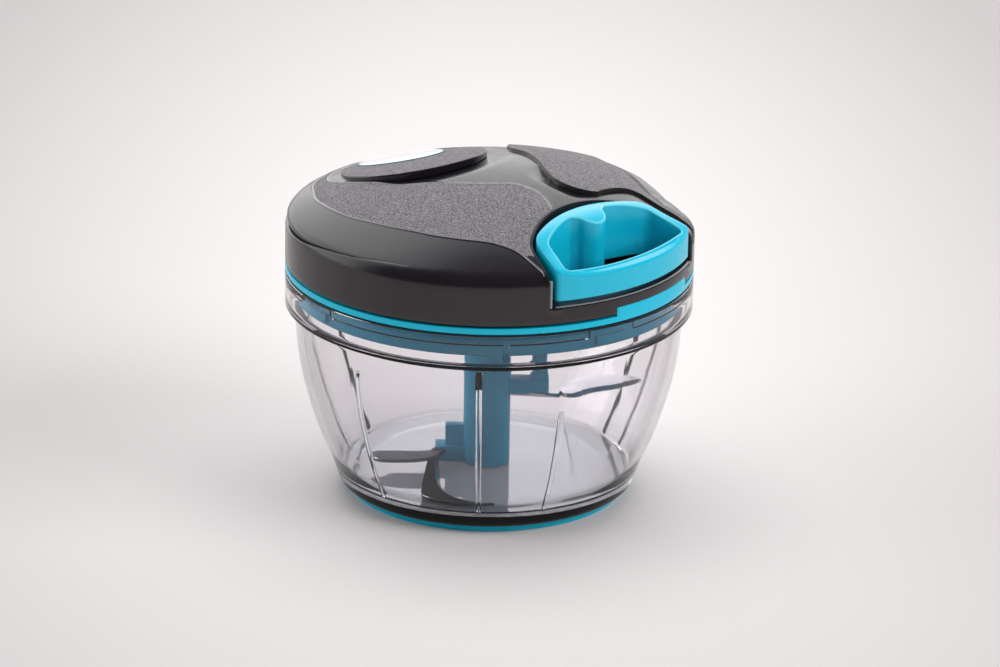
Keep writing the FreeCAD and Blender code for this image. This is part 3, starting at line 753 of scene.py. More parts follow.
# ==================================================================  lid cover
CREASE_AZ = [-212, -180, -150, -135, -122.8, -113.6, -101.9, -92.9, -86.2, -80.4, -72.5, -60]
CREASE_Z = [83.2, 83.5, 84.0, 84.9, 85.8, 86.5, 87.9, 88.4, 88.7, 89.1, 89.1, 89.1]
CREASE_D = ([-212, -190, -135, -125, -110, -95, -85, -70], [0, 2.2, 2.2, 2.0, 1.0, 0.5, 0.25, 0])
P1UP = [(-57, 3), (-57, -4.5), (-55.2, -11.5), (-51.8, -17.8), (-47.2, -22.3), (-41.5, -24.5), (-35, -25), (-27.8, -24.4),
        (-20.5, -22.9), (-15.5, -21.2), (-5.1, -17.1), (5.2, -10.5), (11.3, -4.1), (14.1, -2.3), (17.1, -2.0), (20.8, -1.9),
        (23.9, -2.7), (28.1, -4.6), (31.2, -6.6)]
P1LOW = [(-57.3, 4.5), (-57.9, -4), (-57.2, -11), (-55.2, -18), (-50.6, -25.6), (-44.7, -31.4), (-37.4, -37.5), (-26.9, -42.5),
         (-15.5, -45.5), (-6.9, -45.7), (1.7, -45.1), (8.9, -43.7), (15.9, -41.9), (23.4, -38.6), (31.2, -33.9), (34.2, -32.6),
         (39.6, -31.2), (46, -31.6), (53.2, -32.2)]
P2IN = [(-32.6, 49.5), (-31.9, 46.0), (-29.5, 41), (-24, 33), (-16.6, 26.1), (-8.2, 23.8), (1, 19), (9, 13.6), (17.1, 9.3), (23.4, 9.2),
        (27.6, 11.1), (30.4, 14.7), (30, 17.5), (30.1, 25), (32.8, 30.7), (38.6, 33), (46, 34.3), (53, 35.6)]
P2OUT = [(53, 35.6), (49.5, 37.6), (45, 39.0), (39, 40.6), (33, 43.2), (26.5, 46.6), (19.3, 50.2), (11.5, 53.4), (2, 55.9), (-9, 57),
         (-19, 55.8), (-27, 53.2), (-31, 51.2), (-32.6, 49.5)]
OVAL_C, OVAL_AZ, OVAL_A, OVAL_B = (-32.9, 0.7), 103.7, 24.8, 21.7
LEAN = (4.0, -4.35)
POCKET_Z, GAP_A, GAP_S = 78.3, 1.5, 0.7
RIM_LOW, RIM_TAB, TAB0, TAB1 = 73.2, 75.2, -9.5, 24.0
EDGE = 0.5


def s_line(z):
    """Arc length from the dome's top down to height z."""
    z = np.asarray(z, float)
    sh = S_T + R_SH * (np.arccos(np.clip((z - CZ) / R_SH, -1, 1)) - TH_T)
    dm = R_SPH * np.arccos(np.clip((z - C0) / R_SPH, -1, 1))
    return np.where(z <= CZ, S_S + (CZ - z), np.where(z <= CZ + R_SH * math.cos(TH_T), sh, dm))


def ellipse(grow_by=0.0, n=160):
    t = np.linspace(0, 2 * math.pi, n, endpoint=False)
    u, v = (OVAL_A + grow_by) * np.cos(t), (OVAL_B + grow_by) * np.sin(t)
    a = math.radians(OVAL_AZ)
    return np.column_stack([OVAL_C[0] + u * math.cos(a) - v * math.sin(a), OVAL_C[1] + u * math.sin(a) + v * math.cos(a)])


def ellipse_dist(Q):
    """Rough signed distance to the oval's edge (positive outside), and how near the front it lies (1 front, 0 tips or back)."""
    a = math.radians(OVAL_AZ)
    d = Q - np.array(OVAL_C)
    u = d[:, 0] * math.cos(a) + d[:, 1] * math.sin(a)
    v = -d[:, 0] * math.sin(a) + d[:, 1] * math.cos(a)
    k = np.hypot(u / OVAL_A, v / OVAL_B)
    g = np.hypot(u / OVAL_A ** 2, v / OVAL_B ** 2) / np.maximum(k, 1e-6)
    sd = (k - 1) / np.maximum(g, 1e-6)
    front = np.clip(-(v / OVAL_B) / np.maximum(k, 1e-6), -1, 1)
    return sd, front


C_P1UP, C_P1LOW = curve(P1UP, 0.6), curve(P1LOW, 0.6)
C_P2IN, C_P2OUT = curve(P2IN, 0.6), curve(P2OUT, 1.2)
U_P1UP, U_P1LOW = U(*C_P1UP.T), U(*C_P1LOW.T)
U_P2IN, U_P2OUT = U(*C_P2IN.T), U(*C_P2OUT.T)
U_P2 = np.vstack([U_P2IN, U_P2OUT[1:-1]])
U_OVAL = U(*ellipse().T)
_az = np.linspace(-212, -60, 153)
_z = np.interp(_az, CREASE_AZ, CREASE_Z)
_z = np.convolve(np.pad(_z, 4, mode="edge"), np.ones(9) / 9, mode="valid")


def crease_s(az):
    azc = np.where(az > 60, az - 360, az)
    return s_line(np.interp(azc, _az, _z)), np.interp(azc, *CREASE_D)


def side_of(Q, C):
    """Signed distance to an open curve, positive on its left."""
    d, t = dist_poly(Q, C)
    L = np.concatenate([[0], np.cumsum(np.linalg.norm(np.diff(C, axis=0), axis=1))])
    s = t * L[-1]
    i = np.clip(np.searchsorted(L, s) - 1, 0, len(C) - 2)
    T = C[i + 1] - C[i]
    R = Q - C[i]
    return np.where(T[:, 0] * R[:, 1] - T[:, 1] * R[:, 0] > 0, d, -d), t


def bead(d, w):
    t = np.clip(np.abs(d) / w, 0, 1)
    return (1 - t * t) ** 2


def shape_of(Q, loop=None, broad=False):
    """How far the cover's surface stands off the plain dome: along its normal, and straight down."""
    P, N, r, z, az = nominal(Q)
    s = np.hypot(*Q.T)
    dn = np.zeros(len(Q))
    dz = np.zeros(len(Q))
    xy = P[:, :2]
    # the back right of the dome falls away
    A = np.interp(az, [22, 32, 38, 47, 58, 70, 83, 95], [0.6, 1.0, 1.5, 3.0, 4.6, 4.6, 1.4, 0.0])
    A = np.where((az < 22), np.interp(az, [5, 22], [0, 0.6]), A)
    k = ramp(r, 40, 55)
    k = np.where(s > S_S, ramp(z, 75, 85), k)
    dz -= A * k
    # raised grained panel at the back right
    di, _ = dist_poly(Q, U_P2IN)
    do, _ = dist_poly(Q, U_P2OUT)
    ins = inside(U_P2, Q)
    dn += np.where(ins, 0.95 * ramp(di, 0, 0.5) * ramp(do, 0, 6), 0)
    # ribbon dips towards that panel's lower edge
    near = ramp(xy[:, 0], 2, 12) * (1 - ramp(xy[:, 0], 27, 32)) * ramp(xy[:, 1], 3, 8)
    dz -= np.where(ins, 0, 0.8 * (1 - ramp(di, 0, 7)) * near)
    # ribbon dips towards the oval, which is seated in the dome
    sd, front = ellipse_dist(xy)
    dz -= 1.2 * smooth(1 - np.clip(sd, 0, 9) / 9) * smooth(np.clip(front, 0, 1) / 0.5) * (sd > -3)
    dz -= np.where(sd < -0.4, 1.5 * ramp(-sd, 0.4, 0.9), 0)
    # crease along the side
    sc, D = crease_s(az)
    ds = s - sc
    t = np.clip(-ds / 3.0, 0, 1)
    above = 1 - np.sqrt(np.clip(1 - (1 - t) ** 2, 0, 1))
    below = 1 - ramp(ds, 0, 0.6)
    dn -= D * np.where(ds < 0, above, below)
    if not broad:
        dlow, tl = dist_poly(Q, U_P1LOW)
        dn += 0.28 * bead(dlow, 0.5) * ramp(tl, 0.0, 0.04)
        dup, tu = dist_poly(Q, U_P1UP)
        dn += 0.14 * bead(dup, 0.35) * ramp(tu, 0.0, 0.04)
        if loop is not None:
            dl, _ = dist_poly(Q, loop, closed=True)
            dn += 0.25 * (1 - ramp(dl, 1.0, 1.4)) * (1 - ramp(z, 85.5, 89)) * ramp(z, 76.2, 77.6) * (z > 76) * (np.abs(az) > 27)
    return P, N, dn, dz


def place(Q, loop=None, drop=0.0, broad=False):
    P, N, dn, dz = shape_of(Q, loop, broad)
    out = P + N * (dn - drop)[:, None]
    out[:, 2] += dz
    return out


def height_at(xy):
    """Height of the cover's surface over plan points."""
    q = np.asarray(xy, float).copy()
    for _ in range(4):
        p = place(U(*q.T))
        q = q + (xy - p[:, :2])
    return place(U(*q.T))[:, 2]


def pocket_plan(gap_a, gap_s, r_end, corner, step=0.7):
    """Plan line of the pocket's wall from its end at +y round the arch to its end at -y."""
    cx, Rd, a1, b1, u = plan_outline(gap_a, r_end, gap_s - gap_a)
    ang = math.atan2(a1[1], cx - a1[0])
    th = np.linspace(ang, -ang, 121)
    arc = np.column_stack([cx - Rd * np.cos(th), Rd * np.sin(th)])
    side = np.array([b1 + (a1 - b1) * t for t in np.linspace(0, 1, 61)])
    half = np.vstack([side[:-1], arc, (side * [1, -1])[::-1][1:]])
    i1 = len(side) - 1
    P = fillet_corner(half, i1, corner)
    # mirror corner
    j = int(np.argmin(np.hypot(*(P - a1 * [1, -1]).T)))
    P = fillet_corner(P, j, corner)
    return resample(P, step)


def circle_at(c, r, n):
    t = np.linspace(0, 2 * math.pi, n, endpoint=False)
    return np.column_stack([c[0] + r * np.cos(t), c[1] + r * np.sin(t)])


def stack_loops(rows):
    n = len(rows[0])
    F = [(i * n + j, i * n + (j + 1) % n, (i + 1) * n + (j + 1) % n, (i + 1) * n + j) for i in range(len(rows) - 1) for j in range(n)]
    return np.vstack(rows), F


def build_cover():
    # ---- pocket's edge, in plan and in the unrolled plane
    plan = pocket_plan(GAP_A, GAP_A + GAP_S, R_SIDE, 3.0)
    if plan[0, 1] < 0:
        plan = plan[::-1]
    azb = math.degrees(math.atan2(plan[0, 1], plan[0, 0]))
    zs = np.arange(CZ, POCKET_Z, -0.6)[1:-1]
    s_low = float(s_of_z(POCKET_Z))
    nb = int(2 * math.radians(azb) * 62.5 / 0.8)
    azl = np.linspace(-azb, azb, nb)
    top = U(*plan.T)
    top[0] = Us(azb, CZ)
    top[-1] = Us(-azb, CZ)
    loop = np.vstack([top, Us(np.full(len(zs), -azb), zs), Us(azl, np.full(nb, POCKET_Z)), Us(np.full(len(zs), azb), zs[::-1])])
    kinds = np.array([0] * len(top) + [1] * len(zs) + [2] * nb + [3] * len(zs))
    rev = area2(loop) < 0
    # sharp points in space
    zt = height_at(plan)
    sharp = place(loop)
    sharp[:len(top), :2] = plan
    sharp[:len(top), 2] = zt
    nrm = closed_normals(loop) * (-1 if rev else 1)
    # round the two lower corners a little
    gl = loop + nrm * EDGE
    P0 = place(gl, loop)

    # ---- wall in (length along the plan line, height)
    tl = np.concatenate([[0], np.cumsum(np.linalg.norm(np.diff(plan, axis=0), axis=1))])
    T1 = tl[-1]
    w = np.vstack([np.column_stack([tl, zt]), np.column_stack([np.full(len(zs), T1), zs]),
                   [[T1, POCKET_Z]], [[0, POCKET_Z]], np.column_stack([np.zeros(len(zs)), zs[::-1]])])
    wn = closed_normals(w) * (-1 if area2(w) < 0 else 1)
    wi = w - wn * EDGE
    wi[:, 0] = np.clip(wi[:, 0], EDGE, T1 - EDGE)
    kT, kZ = len(top), len(zs)
    a, b = kT + kZ, kT + kZ + 1
    wi[a] = (T1 - EDGE, POCKET_Z)
    wi[b] = (EDGE, POCKET_Z)

    def on_wall(q):
        x = np.interp(q[:, 0], tl, plan[:, 0])
        y = np.interp(q[:, 0], tl, plan[:, 1])
        return np.column_stack([x, y, q[:, 1]])

    # the floor's front edge: same azimuths as the lower line, set in by the round
    rf = R_SIDE - EDGE
    front = np.column_stack([rf * np.cos(np.radians(azl)), rf * np.sin(np.radians(azl)), np.full(nb, POCKET_Z)])
    wall3 = on_wall(wi)
    front[0], front[-1] = wall3[a], wall3[b]
    P2 = np.vstack([wall3[:kT], wall3[kT:kT + kZ], front, wall3[b + 1:]])
    P1 = sharp.copy()
    P1[kinds == 2, 2] = POCKET_Z

    V, F, M = [], [], []

    def add(verts, faces, mat):
        k = sum(len(x) for x in V)
        V.append(np.asarray(verts, float))
        for f in faces:
            F.append(tuple(int(i) + k for i in f))
            M.append(mat if np.ndim(mat) == 0 else None)
        if np.ndim(mat):
            M[-len(faces):] = list(mat)

    # ---- rounded edge
    rows = []
    for t in (0, 0.2, 0.4, 0.6, 0.8, 1.0):
        rows.append((1 - t) ** 2 * P0 + 2 * t * (1 - t) * P1 + t * t * P2)
    n = len(loop)
    fs = [(i * n + j, i * n + (j + 1) % n, (i + 1) * n + (j + 1) % n, (i + 1) * n + j) for i in range(len(rows) - 1) for j in range(n)]
    add(np.vstack(rows), fs, 0)

    # ---- outer surface
    s0, s1 = float(s_of_z(RIM_LOW)), float(s_of_z(RIM_TAB))
    az = np.linspace(-180, 180, 481)[:-1]
    low = az[(az < TAB0 - 0.3) | (az > TAB1 + 0.3)]
    tab = az[(az > TAB0 + 0.3) & (az < TAB1 - 0.3)]
    q = []
    for v in low[low < TAB0]:
        q.append(Us(v, CZ + S_S - s0))
    q += [Us(TAB0, CZ + S_S - s) for s in (s0, (s0 * 2 + s1) / 3, (s0 + 2 * s1) / 3, s1)]
    q += [Us(v, CZ + S_S - s1) for v in tab]
    q += [Us(TAB1, CZ + S_S - s) for s in (s1, (s0 + 2 * s1) / 3, (s0 * 2 + s1) / 3, s0)]
    q += [Us(v, CZ + S_S - s0) for v in low[low > TAB1]]
    rim = ccw(np.array(q))
    rims = [rim, grow(rim, -0.1), grow(rim, -0.35)]
    drops = [0.28, 0.07, 0.0]
    lines = []
    for C, offs in ((U_P1LOW, (-0.9, -0.5, -0.25, 0, 0.25, 0.5, 0.9)), (U_P1UP, (-0.35, -0.17, 0, 0.17, 0.35)),
                    (U_P2IN, (-0.5, -0.1, 0, 0.12, 0.25, 0.38, 0.5, 0.7)), (U_P2OUT[1:-1], (0, -1.9))):
        T = np.gradient(C, axis=0)
        T /= np.linalg.norm(T, axis=1)[:, None]
        Nn = np.column_stack([-T[:, 1], T[:, 0]])
        for o in offs:
            lines.append(C + Nn * o)
    ca = np.arange(-210, -70, 1.0)
    sc, _ = crease_s(ca)
    for o in (-3.0, -2.2, -1.5, -0.9, -0.45, -0.15, 0.0, 0.15, 0.3, 0.45, 0.6, 0.9):
        lines.append(np.column_stack([(sc + o) * np.cos(np.radians(ca)), (sc + o) * np.sin(np.radians(ca))]))
    ovals = [U(*ellipse(g).T) for g in (-0.95, -0.65, -0.4, 0.0)]
    hole = ccw(gl)
    near = [ccw(loop + nrm * (EDGE + o)) for o in (0.5, 0.9)]
    rings = [np.column_stack([s * np.cos(np.radians(az)), s * np.sin(np.radians(az))]) for s in
             (S_T, S_T + 1.3, S_T + 2.6, S_T + 3.9, S_S)]

    def clip_lines(ls, poly_out, poly_in):
        """Keep the stretches that lie on the surface."""
        out = []
        for L in ls:
            ok = inside(poly_out, L) & ~inside(poly_in, L)
            k = 0
            while k < len(L):
                if ok[k]:
                    e = k
                    while e + 1 < len(L) and ok[e + 1]:
                        e += 1
                    if e > k:
                        out.append(L[k:e + 1])
                    k = e + 1
                else:
                    k += 1
        return out

    big_hole = ccw(loop + nrm * (EDGE + 1.1))
    body_in = grow(rim, -0.7)
    cl = clip_lines(lines + [np.vstack([o, o[:1]]) for o in ovals] + [np.vstack([o, o[:1]]) for o in rings], body_in, big_hole)
    # near the pocket the panel lines end a little short of its edge
    cpts = np.vstack(cl + near + rims + [hole])
    from mathutils import kdtree
    kd = kdtree.KDTree(len(cpts))
    for i, c in enumerate(cpts):
        kd.insert((c[0], c[1], 0), i)
    kd.balance()
    h = 1.25
    grid = hexgrid(-79, 79, -79, 79, h)
    keep = np.array([kd.find((c[0], c[1], 0))[2] > 0.55 * h for c in grid])
    grid = grid[keep]
    grid = grid[inside(grow(rim, -0.8), grid) & ~inside(ccw(loop + nrm * (EDGE + 0.6)), grid)]
    W, T = triangulate([rims[0], rims[1], rims[2], hole] + near, cl, grid, holes=[hole], outer=rim)
    # depth of the rounded lower rim
    d_rim, _ = dist_poly(W, rim, closed=True)
    drop = np.interp(d_rim, [0, 0.1, 0.35], [0.28, 0.07, 0.0])
    X = place(W, loop, drop)
    cen = W[T].mean(1)
    # the grained panels
    lip = U(*np.array([(35.5, -7.2), (36.4, -12), (38.6, -19), (42.0, -24.0), (45.5, -27.0)]).T)
    lowcut = U_P1LOW[C_P1LOW[:, 0] < 43.0]
    p1 = np.vstack([U_P1UP, lip, lowcut[::-1]])
    g1 = inside(p1, cen) & (dist_poly(cen, loop, closed=True)[0] > EDGE + 0.5)
    g2 = inside(U_P2, cen)
    mat = np.where(g1 | g2, 1, 0)
    dlow, tlow = dist_poly(cen, U_P1LOW)
    dup, tup = dist_poly(cen, U_P1UP)
    clear_of = dist_poly(cen, loop, closed=True)[0] > EDGE + 0.9
    # faces along the two panel bead lines take the light grey: painted highlight
    mat = np.where((dlow < 0.26) & (tlow > 0.02) & clear_of, 3, mat)
    mat = np.where((dup < 0.18) & (tup > 0.02) & clear_of, 3, mat)
    d2, _ = dist_poly(cen, U_P2IN)
    mat = np.where((d2 < 0.5) & inside(U_P2, cen) & clear_of, 2, mat)
    do, _ = dist_poly(cen, U_P2OUT)
    mat = np.where((do < 1.9) & ~inside(U_P2, cen) & (d2 > 0.3) & clear_of, 2, mat)
    azc = np.degrees(np.arctan2(cen[:, 1], cen[:, 0]))
    scc, Dc = crease_s(azc)
    dsc = np.hypot(*cen.T) - scc
    mat = np.where((dsc > -0.46) & (dsc < 0.31) & (Dc > 0.35) & clear_of, 2, mat)
    add(X, T, mat)

    # ---- wall and floor
    tb = tl[(tl > EDGE + 0.3) & (tl < T1 - EDGE - 0.3)][::-1]
    bottom = np.column_stack([tb, np.full(len(tb), POCKET_Z)])
    wpoly = np.vstack([wi[:a + 1], bottom, wi[b:]])
    th = np.linspace(0, 2 * math.pi, 28, endpoint=False)
    tmid = T1 / 2
    eye = np.column_stack([tmid + 2.5 * np.cos(th), 86.0 + 2.5 * np.sin(th)])
    wg = hexgrid(0, T1, POCKET_Z, 101, 1.5)
    wp = ccw(wpoly)
    wg = wg[inside(grow(wp, -0.6), wg) & (np.hypot(wg[:, 0] - tmid, wg[:, 1] - 86) > 3.1)]
    Ww, Tw = triangulate([wp, eye], (), wg, holes=[eye], outer=wp)
    add(on_wall(Ww), Tw, 2)
    fl = np.vstack([on_wall(np.vstack([wi[a:a + 1], bottom, wi[b:b + 1]]))[:, :2], front[::-1][1:-1, :2]])
    fp = ccw(fl)
    fg = hexgrid(25, 63, -36, 36, 2.5)
    fg = fg[inside(grow(fp, -1.0), fg)]
    Wf, Tf = triangulate([fp], (), fg)
    add(np.column_stack([Wf, np.full(len(Wf), POCKET_Z)]), Tf, 2)

    # ---- inner skin
    wt = 1.8
    gi = loop + nrm * 1.7
    hi = ccw(gi)
    ig = hexgrid(-79, 79, -79, 79, 2.6)
    ig = ig[inside(grow(rim, -1.5), ig) & ~inside(ccw(loop + nrm * 2.9), ig)]
    Wi, Ti = triangulate([rim, hi], (), ig, holes=[hi], outer=rim)
    Xi = place(Wi, None, 0.0, broad=True)
    Pn, Nn, _, _, _ = nominal(Wi)
    Xi = Xi - Nn * wt
    rim_i = place(rim, None, 0.0, broad=True) - nominal(rim)[1] * wt
    add(Xi, Ti, 2)
    # lower rim between the skins
    rim_o = place(rim, loop, 0.28)
    m = len(rim)
    add(np.vstack([rim_o, rim_i]), [(j, (j + 1) % m, m + (j + 1) % m, m + j) for j in range(m)], 0)
    # inner side of the pocket's wall and floor
    A = place(gi, None, 0.0, broad=True) - nominal(gi)[1] * wt
    At = A[:kT]
    zf = float(A[kinds == 2, 2].mean())
    ti = np.concatenate([[0], np.cumsum(np.linalg.norm(np.diff(At[:, :2], axis=0), axis=1))])
    Ti1 = ti[-1]
    kb = np.where(kinds == 2)[0]
    poly = np.vstack([np.column_stack([ti, At[:, 2]]), np.column_stack([np.full(kZ, Ti1), A[kT:kT + kZ, 2]]),
                      [[Ti1, A[kb[0], 2]]], np.column_stack([ti[1:-1][::-1], np.full(kT - 2, zf)]), [[0, A[kb[-1], 2]]],
                      np.column_stack([np.zeros(kZ), A[kb[-1] + 1:, 2]])])
    pc = ccw(poly)
    tm = Ti1 / 2
    eye_i = np.column_stack([tm + 2.5 * np.cos(th), 86.0 + 2.5 * np.sin(th)])
    gg = hexgrid(0, Ti1, 76, 101, 2.6)
    gg = gg[inside(grow(pc, -1.2), gg) & (np.hypot(gg[:, 0] - tm, gg[:, 1] - 86) > 3.6)]
    Wj, Tj = triangulate([pc, eye_i], (), gg, holes=[eye_i], outer=pc)

    def on_in(q):
        return np.column_stack([np.interp(q[:, 0], ti, At[:, 0]), np.interp(q[:, 0], ti, At[:, 1]), q[:, 1]])

    Xj = on_in(Wj)
    # ends follow the skin exactly
    for ref in (A[kT:kT + kZ], A[kb[-1] + 1:], A[kb[:1]], A[kb[-1:]]):
        for p in ref:
            k = np.argmin(np.abs(Xj - p) @ np.array([1.0, 1.0, 200.0]))
            if np.abs(Xj[k] - p).sum() < 1.5 and abs(Xj[k, 2] - p[2]) < 0.02:
                Xj[k] = p
    add(Xj, Tj, 2)
    fi = np.vstack([np.column_stack([At[1:-1, 0], At[1:-1, 1]]), A[kb, :2]])
    fc = ccw(fi)
    Wk, Tk = triangulate([fc], (), fg[inside(grow(fc, -1.0), fg)])
    Xk = np.column_stack([Wk, np.full(len(Wk), zf)])
    for p in A[kb]:
        k = np.argmin(np.abs(Xk[:, :2] - p[:2]).sum(1))
        Xk[k] = p
    add(Xk, Tk, 2)
    # hole for the eyelet
    o3, i3 = on_wall(eye), on_in(eye_i)
    m = len(eye)
    add(np.vstack([o3, i3]), [(j, (j + 1) % m, m + (j + 1) % m, m + j) for j in range(m)], 2)
    for x, y in [(49 * math.cos(math.radians(k)), 49 * math.sin(math.radians(k))) for k in (75, 150, -150, -75)] + [(0.0, 0.0)]:
        post = (x, y) != (0.0, 0.0)
        ro, ri, zb, zt_, zh = (3.6, 1.5, 74.7, 95.0, 84.4) if post else (5.0, 3.0, 93.1, 99.6, 97.2)
        zt_ = min(zt_, float(height_at(np.array([[x * 1.075, y * 1.075]]))[0]) - 1.0)
        n_ = 40
        rows_ = [np.column_stack([circle_at((x, y), r_, n_), np.full(n_, z_)]) for r_, z_ in
                 ((ri, zh), (ri, zb + 0.3), (ri + 0.3, zb), (ro - 0.4, zb), (ro, zb + 0.4), (ro, (zb + zt_) / 2), (ro, zt_))]
        Vp, Fp = stack_loops(rows_)
        kp = len(Vp)
        Vp = np.vstack([Vp, [[x, y, zh]], [[x, y, zt_]]])
        Fp += [(kp, (j + 1) % n_, j) for j in range(n_)]
        o_ = (len(rows_) - 1) * n_
        Fp += [(kp + 1, o_ + j, o_ + (j + 1) % n_) for j in range(n_)]
        add(Vp, Fp, 2)
    ob = make("lid_shell", np.vstack(V), F, [GLOSS, GRAIN, DARKIN, HIGHLIGHT_GREY], M, sharp=42, merge=0.004)
    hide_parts("lid_cover")
    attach(ob, "lid")
    return ob


def edge_report(ob):
    """Open and over-shared edges of a mesh."""
    bm = bmesh.new()
    bm.from_mesh(ob.data)
    o = sum(1 for e in bm.edges if len(e.link_faces) == 1)
    x = sum(1 for e in bm.edges if len(e.link_faces) > 2)
    n = len(bm.faces)
    bm.free()
    print("MESH %-18s faces %6d  open edges %d  shared by more than two %d" % (ob.name, n, o, x))


# ===============================================================  camera, floor, light
def look(name, loc, target, size, power, color=(1, 1, 1), shape="RECTANGLE", size_y=None, camera=False, spread=180.0):
    ld = bpy.data.lights.new(name, "AREA")
    ld.shape = shape
    ld.size = size
    if size_y:
        ld.size_y = size_y
    ld.energy = power
    ld.color = color
    ld.spread = math.radians(spread)
    ob = bpy.data.objects.new(name, ld)
    SCENE.collection.objects.link(ob)
    ob.location = loc
    d = Vector(target) - Vector(loc)
    ob.rotation_euler = d.to_track_quat("-Z", "Y").to_euler()
    ob.visible_camera = camera
    return ob


def setup_camera():
    e, roll = 0.34576328814727375, 0.018194950429779602
    t = np.array([-0.07133622499317828, 0.7315989087565042, 29.744820856504017]) * 0.0625
    se, ce = math.sin(e), math.cos(e)
    R0 = np.array([[1, 0, 0], [0, -se, -ce], [0, ce, -se]])
    cr, sr = math.cos(roll), math.sin(roll)
    Rz = np.array([[cr, -sr, 0], [sr, cr, 0], [0, 0, 1]])
    R = Rz @ R0
    C = -R.T @ t
    a = math.radians(42.5)
    A = np.array([[math.cos(a), -math.sin(a), 0], [math.sin(a), math.cos(a), 0], [0, 0, 1]])
    M = A @ R.T @ np.diag([1, -1, -1])
    loc = A @ C
    cam = bpy.data.cameras.new("camera")
    cam.sensor_width = 36
    cam.sensor_fit = "HORIZONTAL"
    cam.lens = 216
    cam.clip_start = 0.01
    cam.clip_end = 50
    ob = bpy.data.objects.new("camera", cam)
    SCENE.collection.objects.link(ob)
    m = Matrix([list(M[0]) + [loc[0]], list(M[1]) + [loc[1]], list(M[2]) + [loc[2]], [0, 0, 0, 1]])
    ob.matrix_world = m
    SCENE.camera = ob
    return ob


def frame_dir(right, away, up=0.0):
    """Room directions seen from the camera, in the row frame."""
    a = math.radians(42.5)
    return Vector((right * math.cos(a) - away * math.sin(a), right * math.sin(a) + away * math.cos(a), up))


setup_camera()
SCENE.view_settings.view_transform = "Standard"
SCENE.view_settings.look = "None"


def floor_mat():
    """Pale paper with a painted falloff of light: darker away from the object."""
    m, nt = new_mat("floor_paper")
    g = G(nt)
    out = g.n("ShaderNodeOutputMaterial")
    p = g.n("ShaderNodeBsdfPrincipled")
    tc = g.n("ShaderNodeTexCoord")
    f = g.noise(tc.outputs["Object"], 900.0, 3.0, 0.7)
    col = g.mixc(g.range(f.outputs["Fac"], 0.3, 0.7, 0, 1), (0.80, 0.765, 0.760), (0.83, 0.795, 0.790))
    mp = g.n("ShaderNodeMapping")
    mp.vector_type = "TEXTURE"
    mp.inputs["Rotation"].default_value = (0, 0, math.radians(42.5))
    c = frame_dir(0.0, 0.17)
    mp.inputs["Location"].default_value = (c.x, c.y, 0)
    mp.inputs["Scale"].default_value = (0.20, 0.56, 1.0)
    g.l(tc.outputs["Object"], mp.inputs["Vector"])
    ln = g.n("ShaderNodeVectorMath", operation="LENGTH")
    g.l(mp.outputs["Vector"], ln.inputs[0])
    k = g.range(ln.outputs["Value"], 0.35, 1.1, 0.0, 1.0)
    g.l(g.mixc(k, col, FLOOR_FALLOFF_PAINT), p.inputs["Base Color"])
    p.inputs["Roughness"].default_value = 0.85
    p.inputs["Specular IOR Level"].default_value = 0.15
    g.l(g.bump(f.outputs["Fac"], 0.2, 0.0001), p.inputs["Normal"])
    g.l(p.outputs["BSDF"], out.inputs["Surface"])
    return m


# painted light falloff: the floor colour far from the object
FLOOR_FALLOFF_PAINT = (0.56, 0.53, 0.53)


def build_floor():
    n = 24
    xs = np.linspace(-3000, 3000, n)
    V = [(x, y, 0) for y in xs for x in xs]
    F = [(j * n + i, j * n + i + 1, (j + 1) * n + i + 1, (j + 1) * n + i) for j in range(n - 1) for i in range(n - 1)]
    ob = make("floor", V, F, [floor_mat()], normals=False)
    return ob


build_floor()
def build_world():
    """Soft room: for glossy rays bright behind the object and to its left, dim overhead and towards the viewer; diffuse
    rays see an even light.
    """
    world = bpy.data.worlds.new("studio")
    SCENE.world = world
    world.use_nodes = True
    nt = world.node_tree
    nt.nodes.clear()
    g = G(nt)
    out = g.n("ShaderNodeOutputWorld")
    bg = g.n("ShaderNodeBackground")
    tc = g.n("ShaderNodeTexCoord")

    def along(v):
        x = g.n("ShaderNodeVectorMath", operation="DOT_PRODUCT")
        g.l(tc.outputs["Generated"], x.inputs[0])
        x.inputs[1].default_value = tuple(v)
        return x.outputs["Value"]

    def math_(op, a, b):
        x = g.n("ShaderNodeMath", operation=op)
        for i, v in enumerate((a, b)):
            if isinstance(v, bpy.types.NodeSocket):
                g.l(v, x.inputs[i])
            else:
                x.inputs[i].default_value = v
        return x.outputs[0]

    up = along((0, 0, 1))
    near = along(frame_dir(0.0, -1.0))
    left = along(frame_dir(-1.0, 0.0))
    # glossy surfaces see a bright wall behind and to the left, and a dim room overhead and in front
    lean = math_("ADD", math_("MULTIPLY", near, -1.0), math_("MULTIPLY", math_("MAXIMUM", left, 0.0), 0.9))
    val = g.range(lean, 0.50, 0.80, WORLD_DIM, WORLD_BRIGHT)
    lp = g.n("ShaderNodeLightPath")
    flat = math_("MULTIPLY", lp.outputs["Is Diffuse Ray"], WORLD_FLAT)
    keep = math_("MULTIPLY", val, math_("SUBTRACT", 1.0, lp.outputs["Is Diffuse Ray"]))
    val = math_("ADD", flat, keep)
    g.l(val, bg.inputs["Strength"])
    bg.inputs["Color"].default_value = (0.98, 0.975, 0.985, 1)
    g.l(bg.outputs["Background"], out.inputs["Surface"])


WORLD_BRIGHT, WORLD_DIM, WORLD_FLAT = 1.7, 0.05, 0.31
build_world()
look("overhead", frame_dir(0.0, 0.35, 1.3), (0, 0, 0.05), 1.3, 8.8, size_y=0.9)
look("left_soft", frame_dir(-1.1, -0.1, 0.45), (0, 0, 0.06), 0.7, 4.0, size_y=0.7)
look("back_wall", frame_dir(0.0, 1.6, 0.7), (0, 0, 0.1), 2.2, 8, size_y=1.0)
fill = look("front_fill", frame_dir(1.25, -0.55, 0.85), (0, 0, 0.05), 1.0, 15, size_y=0.8)
for ob_ in SCENE.objects:
    if ob_.type == "LIGHT":
        ob_.visible_glossy = False
fill.visible_transmission = False


# ==================================================================  the pieces
def paint(node, mat):
    me = NODES[node].data
    me.materials.clear()
    me.materials.append(mat)
    return NODES[node]


